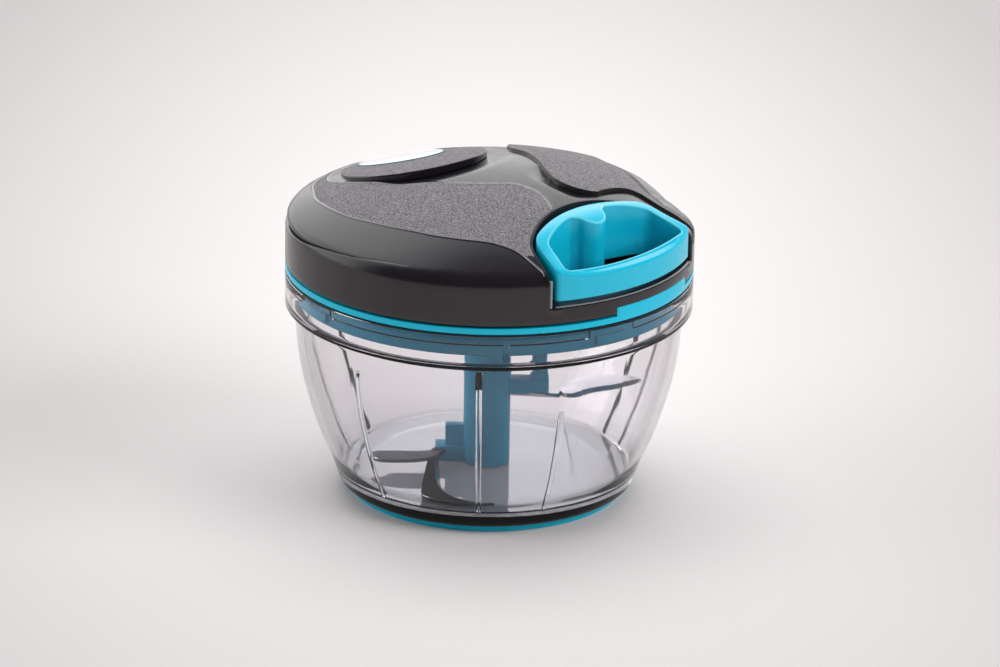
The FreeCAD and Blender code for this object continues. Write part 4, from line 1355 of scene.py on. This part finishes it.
def stack(rows):
    """Quads between closed loops of equal length, one after the other."""
    n = len(rows[0])
    F = [(i * n + j, i * n + (j + 1) % n, (i + 1) * n + (j + 1) % n, (i + 1) * n + j) for i in range(len(rows) - 1) for j in range(n)]
    return np.vstack(rows), F


class Parts:
    """Collects patches of one mesh."""

    def __init__(self):
        self.v, self.f, self.m, self.k = [], [], [], 0

    def add(self, verts, faces, mat=0):
        self.v.append(np.asarray(verts, float))
        self.f += [tuple(int(i) + self.k for i in f) for f in faces]
        self.m += list(mat) if np.ndim(mat) else [mat] * len(faces)
        self.k += len(verts)

    def make(self, name, mats, sharp=38.0, merge=0.004):
        return make(name, np.vstack(self.v), self.f, mats, self.m, sharp=sharp, merge=merge)


def rod(name, a, b, r, n=48):
    """Closed straight rod between two points, in millimetres."""
    a, b = np.array(a, float), np.array(b, float)
    t = (b - a) / np.linalg.norm(b - a)
    u = np.cross(t, (0, 0, 1) if abs(t[2]) < 0.9 else (1, 0, 0))
    u /= np.linalg.norm(u)
    w = np.cross(t, u)
    th = np.linspace(0, 2 * math.pi, n, endpoint=False)
    ring = r * (np.cos(th)[:, None] * u + np.sin(th)[:, None] * w)
    V = np.vstack([a + ring, b + ring])
    F = [(i, (i + 1) % n, n + (i + 1) % n, n + i) for i in range(n)] + [tuple(range(n))[::-1], tuple(range(n, 2 * n))]
    return make(name, V, F, [])


def cut(ob, tools):
    for t in tools:
        m = ob.modifiers.new("cut", "BOOLEAN")
        m.operation = "DIFFERENCE"
        m.solver = "EXACT"
        m.object = t
    apply_mods(ob)
    for t in tools:
        me = t.data
        bpy.data.objects.remove(t)
        bpy.data.meshes.remove(me)
    return ob


def finish_mesh(ob, sharp=38.0):
    me = ob.data
    me.polygons.foreach_set("use_smooth", [True] * len(me.polygons))
    me.set_sharp_from_angle(angle=math.radians(sharp))
    me.update()


# ---- pull handle
def build_handle():
    base = (34.27, (40.73, 24.89), (54.7, 29.6))
    cx, Rd, a1, b1, u = plan_outline(0.0, 62.2, 0.0, base)
    azb = math.atan2(b1[1], b1[0])
    fa = np.linspace(0, azb, 60)
    front = np.column_stack([62.2 * np.cos(fa), 62.2 * np.sin(fa)])
    side = np.array([b1 + (a1 - b1) * t for t in np.linspace(0, 1, 40)])
    ang = math.atan2(a1[1], cx - a1[0])
    th = np.linspace(ang, -ang, 120)
    arc = np.column_stack([cx - Rd * np.cos(th), Rd * np.sin(th)])
    P = np.vstack([front[:-1], side[:-1], arc, (side * [1, -1])[::-1][1:], (front * [1, -1])[::-1][1:]])
    for q, d in ((b1, 1.3), (a1, 3.2), (a1 * [1, -1], 3.2), (b1 * [1, -1], 1.3)):
        i = int(np.argmin(np.hypot(*(P - q).T)))
        P = fillet_corner(P, i, d, 9)
    O = ccw(resample(P[:-1], 0.55, closed=True))
    # opening
    cx2, R2, a2, _, u2 = plan_outline(-4.2, 62.2, 0.8, base)
    xc, RF = 57.8 - 127.0, 127.0
    f = a2 - [xc, 0]
    bb = f @ u2
    c = f @ f - RF * RF
    b2 = a2 + (-bb + math.sqrt(bb * bb - c)) * u2
    af = math.asin(b2[1] / RF)
    fa = np.linspace(0, af, 50)
    front = np.column_stack([xc + RF * np.cos(fa), RF * np.sin(fa)])
    side = np.array([b2 + (a2 - b2) * t for t in np.linspace(0, 1, 30)])
    ax = lambda y: cx2 - math.sqrt(R2 * R2 - y * y)
    top = [(ax(y), y) for y in np.linspace(a2[1], 10.0, 30)]
    half = [(ax(8.6) + 0.02, 8.6), (ax(7.3) + 0.35, 7.3), (ax(6.3) + 1.2, 6.3), (40.9, 5.45), (42.7, 4.55), (44.3, 2.95), (45.1, 1.3)]
    boss = curve([top[-1]] + half + [(x, -y) for x, y in half[::-1]] + [(top[-1][0], -top[-1][1])], 0.35)
    P = np.vstack([front[:-1], side[:-1], np.array(top)[:-1], boss, (np.array(top)[::-1] * [1, -1])[1:], (side * [1, -1])[::-1][1:],
                   (front * [1, -1])[::-1][1:]])
    for q, d in ((b2, 1.5), (a2, 1.6), (a2 * [1, -1], 1.6), (b2 * [1, -1], 1.5)):
        i = int(np.argmin(np.hypot(*(P - q).T)))
        P = fillet_corner(P, i, d, 7)
    I = ccw(resample(P[:-1], 0.45, closed=True))
    prof = curve([(28, 97.6), (35, 97.75), (40, 97.8), (43, 96.9), (47, 94.6), (51, 92.1), (55.5, 89.2), (58.4, 87.75), (60, 87.45), (64, 87.35)], 0.4)

    def ztop(Q):
        x, y = Q[:, 0], Q[:, 1]
        z = np.interp(x, prof[:, 0], prof[:, 1])
        z -= 2.0 * (y / 22.0) ** 2 * (1 - ramp(x, 41, 56))
        # fine groove along the front bar
        xi = xc + np.sqrt(RF * RF - y * y)
        z -= 0.28 * bead(x - (xi + 1.25), 0.32) * (x > 50) * (1 - ramp(np.abs(y), 20.0, 21.8))
        return z

    B = Parts()
    for loop, s, e in ((O, -1, 0.9), (I, 1, 0.6)):
        rows = []
        for t in np.linspace(0, math.pi / 2, 6):
            q = grow(loop, s * e * (1 - math.sin(t)))
            rows.append(np.column_stack([q, ztop(q) - e * (1 - math.cos(t))]))
        zt = ztop(loop) - e
        for k in (0.33, 0.66):
            rows.append(np.column_stack([loop, zt + (80.5 - zt) * k]))
        for t in np.linspace(0, math.pi / 2, 4):
            q = grow(loop, s * 0.5 * (1 - math.cos(t)))
            rows.append(np.column_stack([q, np.full(len(q), 80.5 - 0.5 * math.sin(t))]))
        # the opening's rounded top edge takes the lighter teal: painted highlight
        if s > 0:
            B.add(*stack(rows[:5]), 1)
            B.add(*stack(rows[4:]))
        else:
            B.add(*stack(rows))
    oi, ii = grow(O, -0.9), grow(I, 0.6)
    ys = np.linspace(-21.6, 21.6, 80)
    lines = [np.column_stack([xc + np.sqrt(RF * RF - ys * ys) + 1.25 + o, ys]) for o in (-0.32, -0.16, 0.0, 0.16, 0.32)]
    g = hexgrid(30, 64, -32, 32, 1.1)
    g = g[inside(grow(oi, -0.5), g) & ~inside(grow(ii, 0.5), g)]
    for L in lines:
        g = g[dist_poly(g, L)[0] > 0.35]
    W, T = triangulate([oi, ii], lines, g, holes=[ii], outer=oi)
    B.add(np.column_stack([W, ztop(W)]), T)
    ob_, ib_ = grow(O, -0.5), grow(I, 0.5)
    g = hexgrid(30, 64, -32, 32, 2.0)
    g = g[inside(grow(ob_, -0.8), g) & ~inside(grow(ib_, 0.8), g)]
    W, T = triangulate([ob_, ib_], (), g, holes=[ib_], outer=ob_)
    B.add(np.column_stack([W, np.full(len(W), 80.0)]), T)
    ob = B.make("handle_grip", [TEAL_GRIP, TEAL_HIGHLIGHT_PAINT], sharp=45)
    cut(ob, [rod("t1", (40.6, 0, 78.5), (40.6, 0, 90.0), 2.9), rod("t2", (30, 0, 86), (40.6, 0, 86), 1.15, 28)])
    finish_mesh(ob, 42)
    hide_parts("pull_handle")
    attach(ob, "handle")
    return ob


# ---- oval cap and badge
BADGE_C, BADGE_R = np.array([-38.9, 1.1]), 12.95


def leaned(Q, dz):
    return Z_TOP + dz - R_SPH + np.sqrt(R_SPH ** 2 - (Q[:, 0] - LEAN[0]) ** 2 - (Q[:, 1] - LEAN[1]) ** 2)


def circle(c, r, n=160):
    t = np.linspace(0, 2 * math.pi, n, endpoint=False)
    return np.column_stack([c[0] + r * np.cos(t), c[1] + r * np.sin(t)])


def build_cap():
    O = resample(ellipse(-0.05, 400), 0.6, closed=True)
    O = ccw(O)
    e = 0.55
    B = Parts()
    rows, m = [], []
    low = np.full(len(O), 0.0) + (Z_TOP - 0.86 - R_SPH + np.sqrt(R_SPH ** 2 - (O ** 2).sum(1)))
    top = leaned(O, 1.75)
    for t in np.linspace(0, math.pi / 2, 7):
        q = grow(O, -e * (1 - math.sin(t)))
        rows.append(np.column_stack([q, leaned(q, 1.75) - e * (1 - math.cos(t))]))
    for k in (0.5, 1.0):
        rows.append(np.column_stack([O, (top - e) * (1 - k) + low * k]))
    n = len(O)
    V, F = stack(rows)
    B.add(V, F, [1] * (n * 2) + [0] * (len(F) - 2 * n))
    H = ccw(circle(BADGE_C, 13.5))
    rows = []
    for t in np.linspace(0, math.pi / 2, 4):
        q = grow(H, 0.15 * (1 - math.sin(t)))
        rows.append(np.column_stack([q, leaned(q, 1.75) - 0.15 * (1 - math.cos(t))]))
    rows.append(np.column_stack([H, leaned(H, 1.15)]))
    V, F = stack(rows)
    B.add(V, F, 0)
    oi, hi = grow(O, -e), grow(H, 0.15)
    g = hexgrid(-60, 0, -30, 32, 1.3)
    g = g[inside(grow(oi, -0.6), g) & ~inside(grow(hi, 0.6), g)]
    W, T = triangulate([oi, hi], (), g, holes=[hi], outer=oi)
    B.add(np.column_stack([W, leaned(W, 1.75)]), T, 1)
    g = hexgrid(-60, 0, -30, 32, 2.5)
    gs = g[inside(grow(H, -1.0), g)]
    W, T = triangulate([H], (), gs)
    B.add(np.column_stack([W, leaned(W, 1.15)]), T, 0)
    gs = g[inside(grow(O, -1.0), g)]
    W, T = triangulate([O], (), gs)
    B.add(np.column_stack([W, Z_TOP - 0.86 - R_SPH + np.sqrt(R_SPH ** 2 - (W ** 2).sum(1))]), T, 0)
    ob = B.make("oval_disc", [GLOSS, GRAIN], sharp=50)
    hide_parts("oval_cap")
    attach(ob, "lid")
    # rim: a thin ring with a rounded top
    sec = round_section([(13.02, -0.55), (13.47, -0.55), (13.47, 0.22), (13.02, 0.22)], [0, 0, 0.18, 0.18], 3)
    th = np.linspace(0, 2 * math.pi, 161)[:-1]
    rows = []
    for r, h in sec:
        q = circle(BADGE_C, r)
        rows.append(np.column_stack([q, leaned(q, 1.75) + h]))
    rows.append(rows[0])
    V, F = stack(rows)
    rim = make("badge_line", V, F, [TEAL_DARK], sharp=50, merge=0.003)
    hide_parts("badge_rim")
    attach(rim, "lid")
    # insert: a plain domed disc
    B = Parts()
    C = ccw(circle(BADGE_C, 12.98))
    rows = []
    for t in np.linspace(0, math.pi / 2, 6):
        q = grow(C, -0.5 * (1 - math.sin(t)))
        rows.append(np.column_stack([q, leaned(q, 2.05) - 0.3 * (1 - math.cos(t))]))
    rows.append(np.column_stack([C, leaned(C, 1.2)]))
    B.add(*stack(rows))
    ci = grow(C, -0.5)
    g = hexgrid(-60, 0, -30, 32, 1.5)
    W, T = triangulate([ci], (), g[inside(grow(ci, -0.6), g)])
    B.add(np.column_stack([W, leaned(W, 2.05)]), T)
    W, T = triangulate([C], (), g[inside(grow(C, -0.8), g)])
    B.add(np.column_stack([W, leaned(W, 1.2)]), T)
    ins = B.make("badge_plain", [WHITE], sharp=50)
    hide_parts("badge_insert")
    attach(ins, "lid")
    for o in (ob, rim, ins):
        edge_report(o)


# ---- bowl
RIBS = [-147.0, -90.0, -49.9, -24.3, 60.5, 74.5, 100.5, 190.5]
RIB_SIZE = {-24.3: (0.20, 42.0), 100.5: (0.4, 30.0), 60.5: (0.7, 54.6), -90.0: (0.65, 49.8), -49.9: (0.55, 56.3)}
LUGS = [-10.25, -105.4, 169.75, 79.75]
WALL = [(45.7, 3.9), (48.3, 11.25), (51.6, 18.75), (54.7, 28.1), (57.2, 37.5), (58.9, 48.75), (59.4, 58.95)]


def smooth_line(pts, step):
    return curve(pts, step)


def turned_azimuths(step, special):
    az = set(np.round(np.arange(-180, 180, step), 4))
    for a, offs in special:
        for o in offs:
            az.add(round((a + o + 180) % 360 - 180, 4))
    az = np.array(sorted(az))
    keep = [True] * len(az)
    fine = np.array([round((a + o + 180) % 360 - 180, 4) for a, offs in special for o in offs])
    for i, v in enumerate(az):
        d = np.abs(fine - v)
        if d.min() > 1e-6 and d.min() < 0.45:
            keep[i] = False
    return az[keep]


def around(az, a):
    return (np.asarray(az) - a + 180) % 360 - 180


def build_bowl():
    outw = smooth_line([(43.0, 1.9), (44.9, 2.8)] + WALL, 0.9)
    inn = []
    for i, (r, z) in enumerate(WALL):
        a, b = WALL[max(i - 1, 0)], WALL[min(i + 1, len(WALL) - 1)]
        tr, tz = b[0] - a[0], b[1] - a[1]
        n = math.hypot(tr, tz)
        inn.append((r - 2.2 * tz / n, z + 2.2 * tr / n))
    inn = [(44.5, 8.6)] + [p for p in inn if p[1] > 11.0][:-1] + [(57.15, 59.25)]
    innw = smooth_line(inn, 1.0)
    corner = [(43.0, 7.2), (43.35, 7.24), (43.72, 7.38), (44.05, 7.62), (44.3, 8.0), (44.43, 8.3)]
    floor = [(r, 7.2) for r in (0.0, 3.0, 6, 12, 18, 24, 30, 36, 40)]
    collar_in = [(57.3, 59.5), (57.6, 59.75), (60.0, 60.0), (60.5, 60.12), (60.8, 60.42), (60.9, 60.8), (60.9, 62.4), (60.9, 63.2),
                 (60.9, 65.0), (60.9, 66.7), (60.9, 66.95), (60.9, 67.2), (60.9, 68.45), (60.9, 68.7), (60.9, 68.95), (60.95, 69.6),
                 (61.1, 69.75)]
    collar_out = [(62.15, 69.75), (62.4, 69.65), (62.5, 69.4), (62.5, 66.0), (62.5, 63.0), (62.5, 60.4), (62.5, 59.9), (62.42, 59.6),
                  (62.2, 59.35), (61.8, 59.17), (61.3, 59.09), (60.6, 59.05), (59.9, 59.05), (59.55, 59.0)]
    foot = [(41.0, 1.9), (41.0, 3.6), (39.2, 3.6), (39.2, 1.9), (37.3, 1.9), (36.95, 2.1), (36.4, 4.3), (36.0, 4.6), (30, 4.6), (20, 4.6),
            (10, 4.6), (3.0, 4.6), (0.0, 4.6)]
    prof = np.array(floor + corner + [tuple(p) for p in innw] + collar_in + collar_out + [tuple(p) for p in outw[::-1][1:]] + foot)
    kind = np.array([0] * len(floor) + [1] * len(corner) + [2] * len(innw) + [3] * len(collar_in) + [4] * len(collar_out) +
                    [5] * (len(outw) - 1) + [6] * len(foot))
    offs = [-1.5, -1.2, -1.0, -0.85, -0.7, -0.55, -0.4, -0.2, 0, 0.2, 0.4, 0.55, 0.7, 0.85, 1.0, 1.2, 1.5]
    sp = [(a, offs) for a in RIBS]
    for a in LUGS:
        sp.append((a, [-7.8, -7.6, 7.6, 7.8]))
        s0 = a - 25.0 - 5.0 - 1.2
        sp.append((s0, [-1.75, -1.6, 0.0, 0.15]))
    az = turned_azimuths(1.5, sp)
    bumpv = np.zeros(len(az))
    topv = np.full(len(az), 54.6)
    for a in RIBS:
        d = np.abs(around(az, a))
        k = RIB_SIZE.get(a, (1.0, 54.6))
        b = k[0] * np.sqrt(np.clip(1 - (d / 0.95) ** 2, 0, 1))
        topv = np.where(b > bumpv, k[1], topv)
        bumpv = np.maximum(bumpv, b)
    ledge = np.ones(len(az), bool)
    stop = np.zeros(len(az), bool)
    for a in LUGS:
        ledge &= ~(np.abs(around(az, a)) < 7.7)
        s0 = a - 31.2
        d = around(az, s0)
        stop |= (d > -1.65) & (d < 0.05)

    wall_rows = np.where(kind == 5)[0]
    foot_row = int(wall_rows[np.argmin(np.abs(prof[wall_rows, 1] - 6.4))])
    zk = prof[foot_row, 1]
    wz, wr = prof[wall_rows, 1][::-1], prof[wall_rows, 0][::-1]

    def radial(R, Z, az_):
        z = prof[:, 1]
        # the wall's lowest rows follow the edge of the painted dark band at the foot, which reaches higher near azimuth
        # -47.5
        o_ = np.abs(around(az_, -47.5))
        zb = np.interp(o_, [0, 55, 80, 105, 180], [6.5, 6.1, 4.4, 3.2, 3.0])
        for i in wall_rows:
            if z[i] < 9.0:
                zn = 1.9 + (z[i] - 1.9) * (zb - 1.9) / (zk - 1.9) if z[i] <= zk else zb + (z[i] - zk) * (9.0 - zb) / (9.0 - zk)
                Z[i] = zn
                R[i] = np.interp(zn, wz, wr)
        # the painted dark band on the collar's lower step narrows away from azimuth -47.5
        for i in np.where((kind == 4) & (np.abs(z - 60.4) < 0.01))[0]:
            Z[i] = np.interp(o_, [0, 50, 85, 180], [60.4, 60.35, 59.95, 59.93])
        on = ((kind == 1) | (kind == 2)).astype(float)
        env = (on * ramp(z, 7.25, 8.3))[:, None] * (1 - ramp(z[:, None] - topv[None, :], -1.2, 0.8) ** 2)
        R = R - 1.2 * env * bumpv[None, :]
        led = (kind == 3) & (z > 66.94) & (z < 68.75)
        R[np.ix_(led, ledge)] = 60.25
        st = (kind == 3) & (z > 63.15) & (z < 67.0)
        R[np.ix_(st, stop)] = 60.25
        return R, Z

    # which strips get the painted shade (a near-black band standing in for the dark refraction and reflection lines of
    # the clear plastic): the collar's lower step and the foot, the step only as far round from azimuth -47.5 as the
    # wall is seen at a flat angle
    off = np.abs(around(az, -47.5))
    fm = []
    for i in range(len(prof)):
        p_, q_ = prof[i], prof[(i + 1) % len(prof)]
        if p_[0] < 1e-6 and q_[0] < 1e-6:
            continue
        row = np.zeros(len(az), int)
        if kind[i] in (3, 4):
            row[:] = 4
        # the floor's top takes the darkened floor tint: partly painted shade
        if kind[i] == 0 and q_[0] < 43.2:
            row[:] = 2
        elif kind[i] == 4 and p_[1] < 60.45 and p_[0] > 61.9:
            row[off < 100] = 1
        elif (kind[i] == 4 and p_[1] < 60.0) or (kind[i] == 5 and p_[1] > 58.3):
            row[off < 60] = 1
        # painted shade: a dark line in place of the refraction line at the head of the front rib
        elif kind[i] == 2 and 51.0 < p_[1] < 56.4:          # dark drop at the head of the front rib
            row[np.abs(around(az, -49.9)) < 0.9] = 1
        elif (kind[i] == 5 and i >= foot_row) or (kind[i] == 6 and p_[0] > 36.9):
            row[:] = 1
        elif kind[i] == 6 and abs(p_[1] - 4.6) < 0.01 and abs(q_[1] - 4.6) < 0.01:
            row[:] = 3
        fm += list(row)
    ob = lathe("bowl_clear", prof, [CLEAR, DARK_BAND_PAINT, FLOOR_TINT_SHADE, FROSTED, CLEAR_RIM], az=az, radial=radial, sharp=50, face_mat=fm)
    # socket of the pin
    cut(ob, [rod("t3", (0, 0, 5.4), (0, 0, 9.0), 3.02)])
    finish_mesh(ob, 50)
    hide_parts("bowl")
    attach(ob, "bowl")
    edge_report(ob)


# ---- blades
SHAPES = {
    "lower_blade": (-47.5, 8.1, 1.3,
                    [(-5.6, -16.2), (-2.5, -17.3), (1.0, -17.8), (9.5, -18.3), (19.0, -18.9), (28.2, -19.3), (35.6, -18.4), (39.2, -12.2),
                     (40.8, -4.5), (41.0, 2.7)],
                    [(41.0, 2.7), (39.6, -1.8), (37.2, -6.0), (31.8, -10.6), (22.9, -13.6), (10.9, -14.3), (0.8, -14.7), (-3.0, -14.9),
                     (-5.6, -15.3)],
                    []),
    "middle_blade": (-47.5, 10.7, 1.1,
                     [(0.5, -13.5), (2.6, -17.0), (3.6, -21.0), (3.8, -25.0), (4.0, -29.0), (5.4, -34.4)],
                     [(5.4, -34.4), (8.6, -35.2), (12.2, -33.2), (12.6, -27.5), (11.5, -20.5), (8.6, -16.0), (4.2, -13.6), (2.2, -11.5)],
                     [(2.2, -5.0), (-1.4, -5.0), (-1.4, -13.5)]),
    "upper_blade": (42.5, 29.6, 1.2,
                    [(23.5, -3.3), (26.9, -3.6), (32.5, 0.8), (40.3, 4.6), (44.5, 7.6), (48.2, 10.9)],
                    [(48.2, 10.9), (44.5, 13.2), (39.5, 14.4), (34.5, 13.9), (30.0, 12.0), (26.3, 9.1), (24.4, 5.5), (22.4, 2.8)],
                    [(7.3, 2.4), (7.3, -2.6), (14.0, -3.3), (22.4, -4.0), (22.8, -2.0)]),
}
GROUND = {"lower_blade": "inner", "middle_blade": "outer", "upper_blade": "outer"}


def build_blade(node):
    azd, z0, wide, outer, inner, root = SHAPES[node]
    a = curve(outer, 0.5)
    b = curve(inner, 0.5)
    P = np.vstack([a[:-1], b] + ([np.array(root)] if root else []))
    mark = np.array([1] * (len(a) - 1) + [2] * len(b) + [0] * len(root))
    if area2(P) < 0:
        P, mark = P[::-1].copy(), mark[::-1].copy()
    g = 1 if GROUND[node] == "outer" else 2
    w = np.where(mark == g, wide, 0.06).astype(float)
    w = np.convolve(np.concatenate([w[-3:], w, w[:3]]), np.ones(7) / 7, mode="valid")
    nrm = closed_normals(P)
    # the bevel narrows to nothing at both ends of the ground edge
    line = outer if g == 1 else inner
    for end in (line[0], line[-1]):
        w = np.minimum(w, 0.05 + 0.25 * np.hypot(*(P - np.array(end)).T))
    inn = P - nrm * w[:, None]
    T = 1.2
    mid = P - nrm * np.minimum(w, 0.06)[:, None] * 0
    rows = [np.column_stack([P - nrm * 0.06, np.full(len(P), z0)]), np.column_stack([mid, np.full(len(P), z0 + 0.08)]),
            np.column_stack([mid, z0 + np.where(w > 0.3, 0.2, T - 0.12)]), np.column_stack([inn, np.full(len(P), z0 + T)])]
    B = Parts()
    V, F = stack(rows)
    k = len(P)
    B.add(V, F, [0] * (2 * k) + [1] * k)
    for q, z in ((inn, z0 + T), (P - nrm * 0.06, z0)):
        gx = hexgrid(q[:, 0].min(), q[:, 0].max(), q[:, 1].min(), q[:, 1].max(), 1.6)
        gx = gx[inside(q, gx)]
        gx = gx[dist_poly(gx, q, closed=True)[0] > 0.5]
        W, Tt = triangulate([q], (), gx)
        B.add(np.column_stack([W, np.full(len(W), z)]), Tt, 0)
    # lower and middle blades take the darker steel copies (painted shade); the ground edge takes the bright edge steel
    # (partly painted highlight)
    ob = B.make(node + "_ground", [{"lower_blade": BLADE_SHADE_PAINT, "middle_blade": BLADE_HALF_SHADE_PAINT}.get(node, BLADE), EDGE_STEEL_GLINT], sharp=20, merge=0.002)
    me = ob.data
    c, s = math.cos(math.radians(azd)), math.sin(math.radians(azd))
    co = np.zeros(len(me.vertices) * 3)
    me.vertices.foreach_get("co", co)
    co = co.reshape(-1, 3)
    x, y = co[:, 0] * c - co[:, 1] * s, co[:, 0] * s + co[:, 1] * c
    co[:, 0], co[:, 1] = x, y
    me.vertices.foreach_set("co", co.ravel())
    me.update()
    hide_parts(node)
    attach(ob, "blade_unit")
    edge_report(ob)


# ---- turned trim
def build_trim():
    sec = round_section([(37.6, 0.0), (42.3, 0.0), (42.75, 1.88), (41.0, 1.9), (41.0, 3.6), (39.2, 3.6), (39.2, 1.9), (37.6, 1.9)],
                        [0.3, 0.55, 0.25, 0, 0.2, 0.2, 0, 0.2], 4)
    grips = np.arange(0, 360, 1.0)
    ob = lathe("grip_ring", sec, [TEAL_RUB], az=grips, sharp=50)
    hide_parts("base_ring")
    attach(ob, "bowl")
    edge_report(ob)
    sec = round_section([(60.0, 69.83), (62.3, 69.83), (62.42, 69.95), (62.42, 70.2), (62.3, 70.32), (60.0, 70.32)], [0.1, 0.1, 0.05, 0.05, 0.1, 0.1], 3)
    sec = np.minimum(sec, [99, 70.3])
    ob = lathe("seal_ring", sec, [RUBBER], az=np.arange(0, 360, 1.0), sharp=50)
    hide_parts("lid_seal")
    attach(ob, "seal")
    edge_report(ob)


# ---- cord
def build_cord():
    r1, r2 = 20.92, 22.68
    z0, z1 = 83.42, 88.58
    P = []
    turns = (z1 - z0) / 1.84
    for t in np.linspace(0, turns, int(turns * 72)):
        a = 2 * math.pi * t
        P.append((r1 * math.cos(a), r1 * math.sin(a), z0 + (z1 - z0) * t / turns))
    a_end = 2 * math.pi * turns
    for t in np.linspace(0, 0.12, 9)[1:]:
        a = a_end + 2 * math.pi * t
        k = float(smooth(t / 0.12))
        P.append(((r1 + (r2 - r1) * k) * math.cos(a), (r1 + (r2 - r1) * k) * math.sin(a), z1))
    RL = 22.7
    th = math.acos(RL / 28.4)
    goal = -th                          # leaves the winding here, towards the eyelet
    a0 = a_end + 2 * math.pi * 0.12
    n = math.ceil((a0 - goal) / (2 * math.pi) + 1.2)
    a1 = goal + 2 * math.pi * n
    for t in np.linspace(0, 1, int((a1 - a0) / (2 * math.pi) * 72))[1:]:
        a = a0 + (a1 - a0) * t
        P.append((r2 * math.cos(a), r2 * math.sin(a), z1 + (86.0 - z1) * float(smooth(t))))
    T = np.array([RL * math.cos(th), -RL * math.sin(th), 86.0])
    E = np.array([28.4, 0, 86.0])
    d = (E - T) / np.linalg.norm(E - T)
    # the run from the winding to just before the fixed lead
    for s in np.linspace(0, 9.9, 12)[1:]:
        P.append(tuple(T + d * s))
    ob = tube("cord_turns", P, 0.87, [CORD], sides=10)
    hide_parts("cord_winding")
    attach(ob, "reel")
    edge_report(ob)
    bend = math.pi / 2 - th
    tl = 3.0 * math.tan(bend / 2)
    p1, p2 = E - d * tl, E + np.array([tl, 0, 0])
    Q = [T + d * s for s in np.linspace(10.0, np.linalg.norm(p1 - T), 8)]
    for t in np.linspace(0, 1, 12)[1:]:
        Q.append((1 - t) ** 2 * p1 + 2 * t * (1 - t) * E + t * t * p2)
    for s in np.linspace(0, 1, 8)[1:]:
        Q.append(p2 + (np.array([32.15, 0, 86.0]) - p2) * s)
    ob = tube("cord_out", Q, 0.9, [CORD], sides=14)
    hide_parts("cord_lead")
    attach(ob, "lid")
    edge_report(ob)
    # knot in the handle, and the cord that runs to it
    K = [(x, 0, 86.0) for x in np.linspace(32.75, 38.6, 12)]
    for t in np.linspace(0, 1, 60)[1:]:
        a = 2 * math.pi * 1.5 * t
        K.append((40.6 - 1.35 * math.cos(a) * (1 - 0.25 * t), 1.35 * math.sin(a) * (1 - 0.25 * t), 86.0 + 1.1 * math.sin(2 * math.pi * t) - 1.0 * t))
    ob = tube("cord_end", resample(np.array(K), 0.3), 0.88, [CORD], sides=12)
    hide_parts("cord_knot")
    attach(ob, "handle")
    edge_report(ob)
    ob = tube("cord_span", [(x, 0, 86.0) for x in np.linspace(32.1, 32.8, 40)], 0.88, [CORD], sides=14)
    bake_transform(ob)


def edge_bead(cover):
    """A bead down the pocket's left edge and one along the sill's edge, in light grey that is a painted highlight."""
    me = cover.data
    co = np.array([v.co[:] for v in me.vertices]) / MM
    co = co[np.abs(co[:, 2] - POCKET_Z) < 0.03]
    cr, ca = np.hypot(co[:, 0], co[:, 1]), np.degrees(np.arctan2(co[:, 1], co[:, 0]))
    aa = np.arange(-28.6, 29.2, 1.0)
    rr = np.array([cr[np.abs(ca - a) < 1.2].max() for a in aa])
    fit = np.polyfit(aa, rr, 4)
    S = [(r_ * math.cos(math.radians(a)), r_ * math.sin(math.radians(a)), POCKET_Z - 0.08)
         for a, r_ in zip(aa, np.polyval(fit, aa) - 0.22)]
    print("SILL", round(float(rr.min()), 2), round(float(rr.max()), 2), round(float(np.abs(np.polyval(fit, aa) - rr).max()), 3))
    a_ = math.radians(-30.15)
    P = [(61.93 * math.cos(a_), 61.93 * math.sin(a_), z_) for z_ in np.linspace(86.6, 76.2, 40)]
    rad = 0.5
    b_ = tube("bead_tmp", P, rad, [HIGHLIGHT_GREY], sides=16)
    c_ = tube("bead_sill", resample(np.array(S), 0.6), 0.34, [HIGHLIGHT_GREY], sides=12)
    bm = bmesh.new()
    bm.from_mesh(me)
    n0 = len(bm.faces)
    bm.from_mesh(b_.data)
    bm.from_mesh(c_.data)
    bm.faces.ensure_lookup_table()
    for f_ in bm.faces[n0:]:
        f_.material_index = 3
        f_.smooth = True
    bm.to_mesh(me)
    bm.free()
    bpy.data.objects.remove(b_, do_unlink=True)
    bpy.data.objects.remove(c_, do_unlink=True)


COVER = build_cover()
edge_bead(COVER)
edge_report(COVER)
HANDLE = build_handle()
edge_report(HANDLE)
build_cap()
build_bowl()
for node in SHAPES:
    build_blade(node)
build_trim()
build_cord()
for node, mat, width, body in (
        ("blade_shaft", TEAL_PAINTED_SHADE, 0.45, "blade_unit"), ("lid_base", TEAL, 0.22, "lid"), ("pivot_pin", STEEL, 0.2, "bowl"),
        ("reel_bush", NYLON, 0.12, "lid"), ("reel_axle", STEEL, 0.25, "lid"), ("recoil_spring", SPRING, 0.08, "lid"),
        ("spring_cover", STEEL, 0.12, "lid"), ("cord_eyelet", STEEL, 0.1, "lid"), ("lid_screws", STEEL, 0.15, "lid"),
        ("reel", NYLON, 0.25, "reel"), ("drive_coupling", NYLON, 0.25, "reel"), ("coupling_screw", STEEL, 0.15, "reel")):
    ob = dress(node, width=width, segments=2, angle=30.0, mat=mat)
    if node == "lid_base":
        ob.data.materials.append(TEAL_PAINTED_SHADE)
        # the skirt's faces inside the collar take the shaded teal copy: painted shade
        for f_ in ob.data.polygons:
            if math.hypot(f_.center.x, f_.center.y) / MM < 60.9 and f_.center.z / MM < 70.6:
                f_.material_index = 1
    if node == "lid_base":                # the flange's top lies a little back: a dark line under the cover
        for v in ob.data.vertices:
            r_ = math.hypot(v.co.x, v.co.y) / MM
            if r_ > 57.6 and 72.6 < v.co.z / MM < 73.6:
                v.co.z -= 0.75 * MM
    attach(ob, body)
    edge_report(ob)
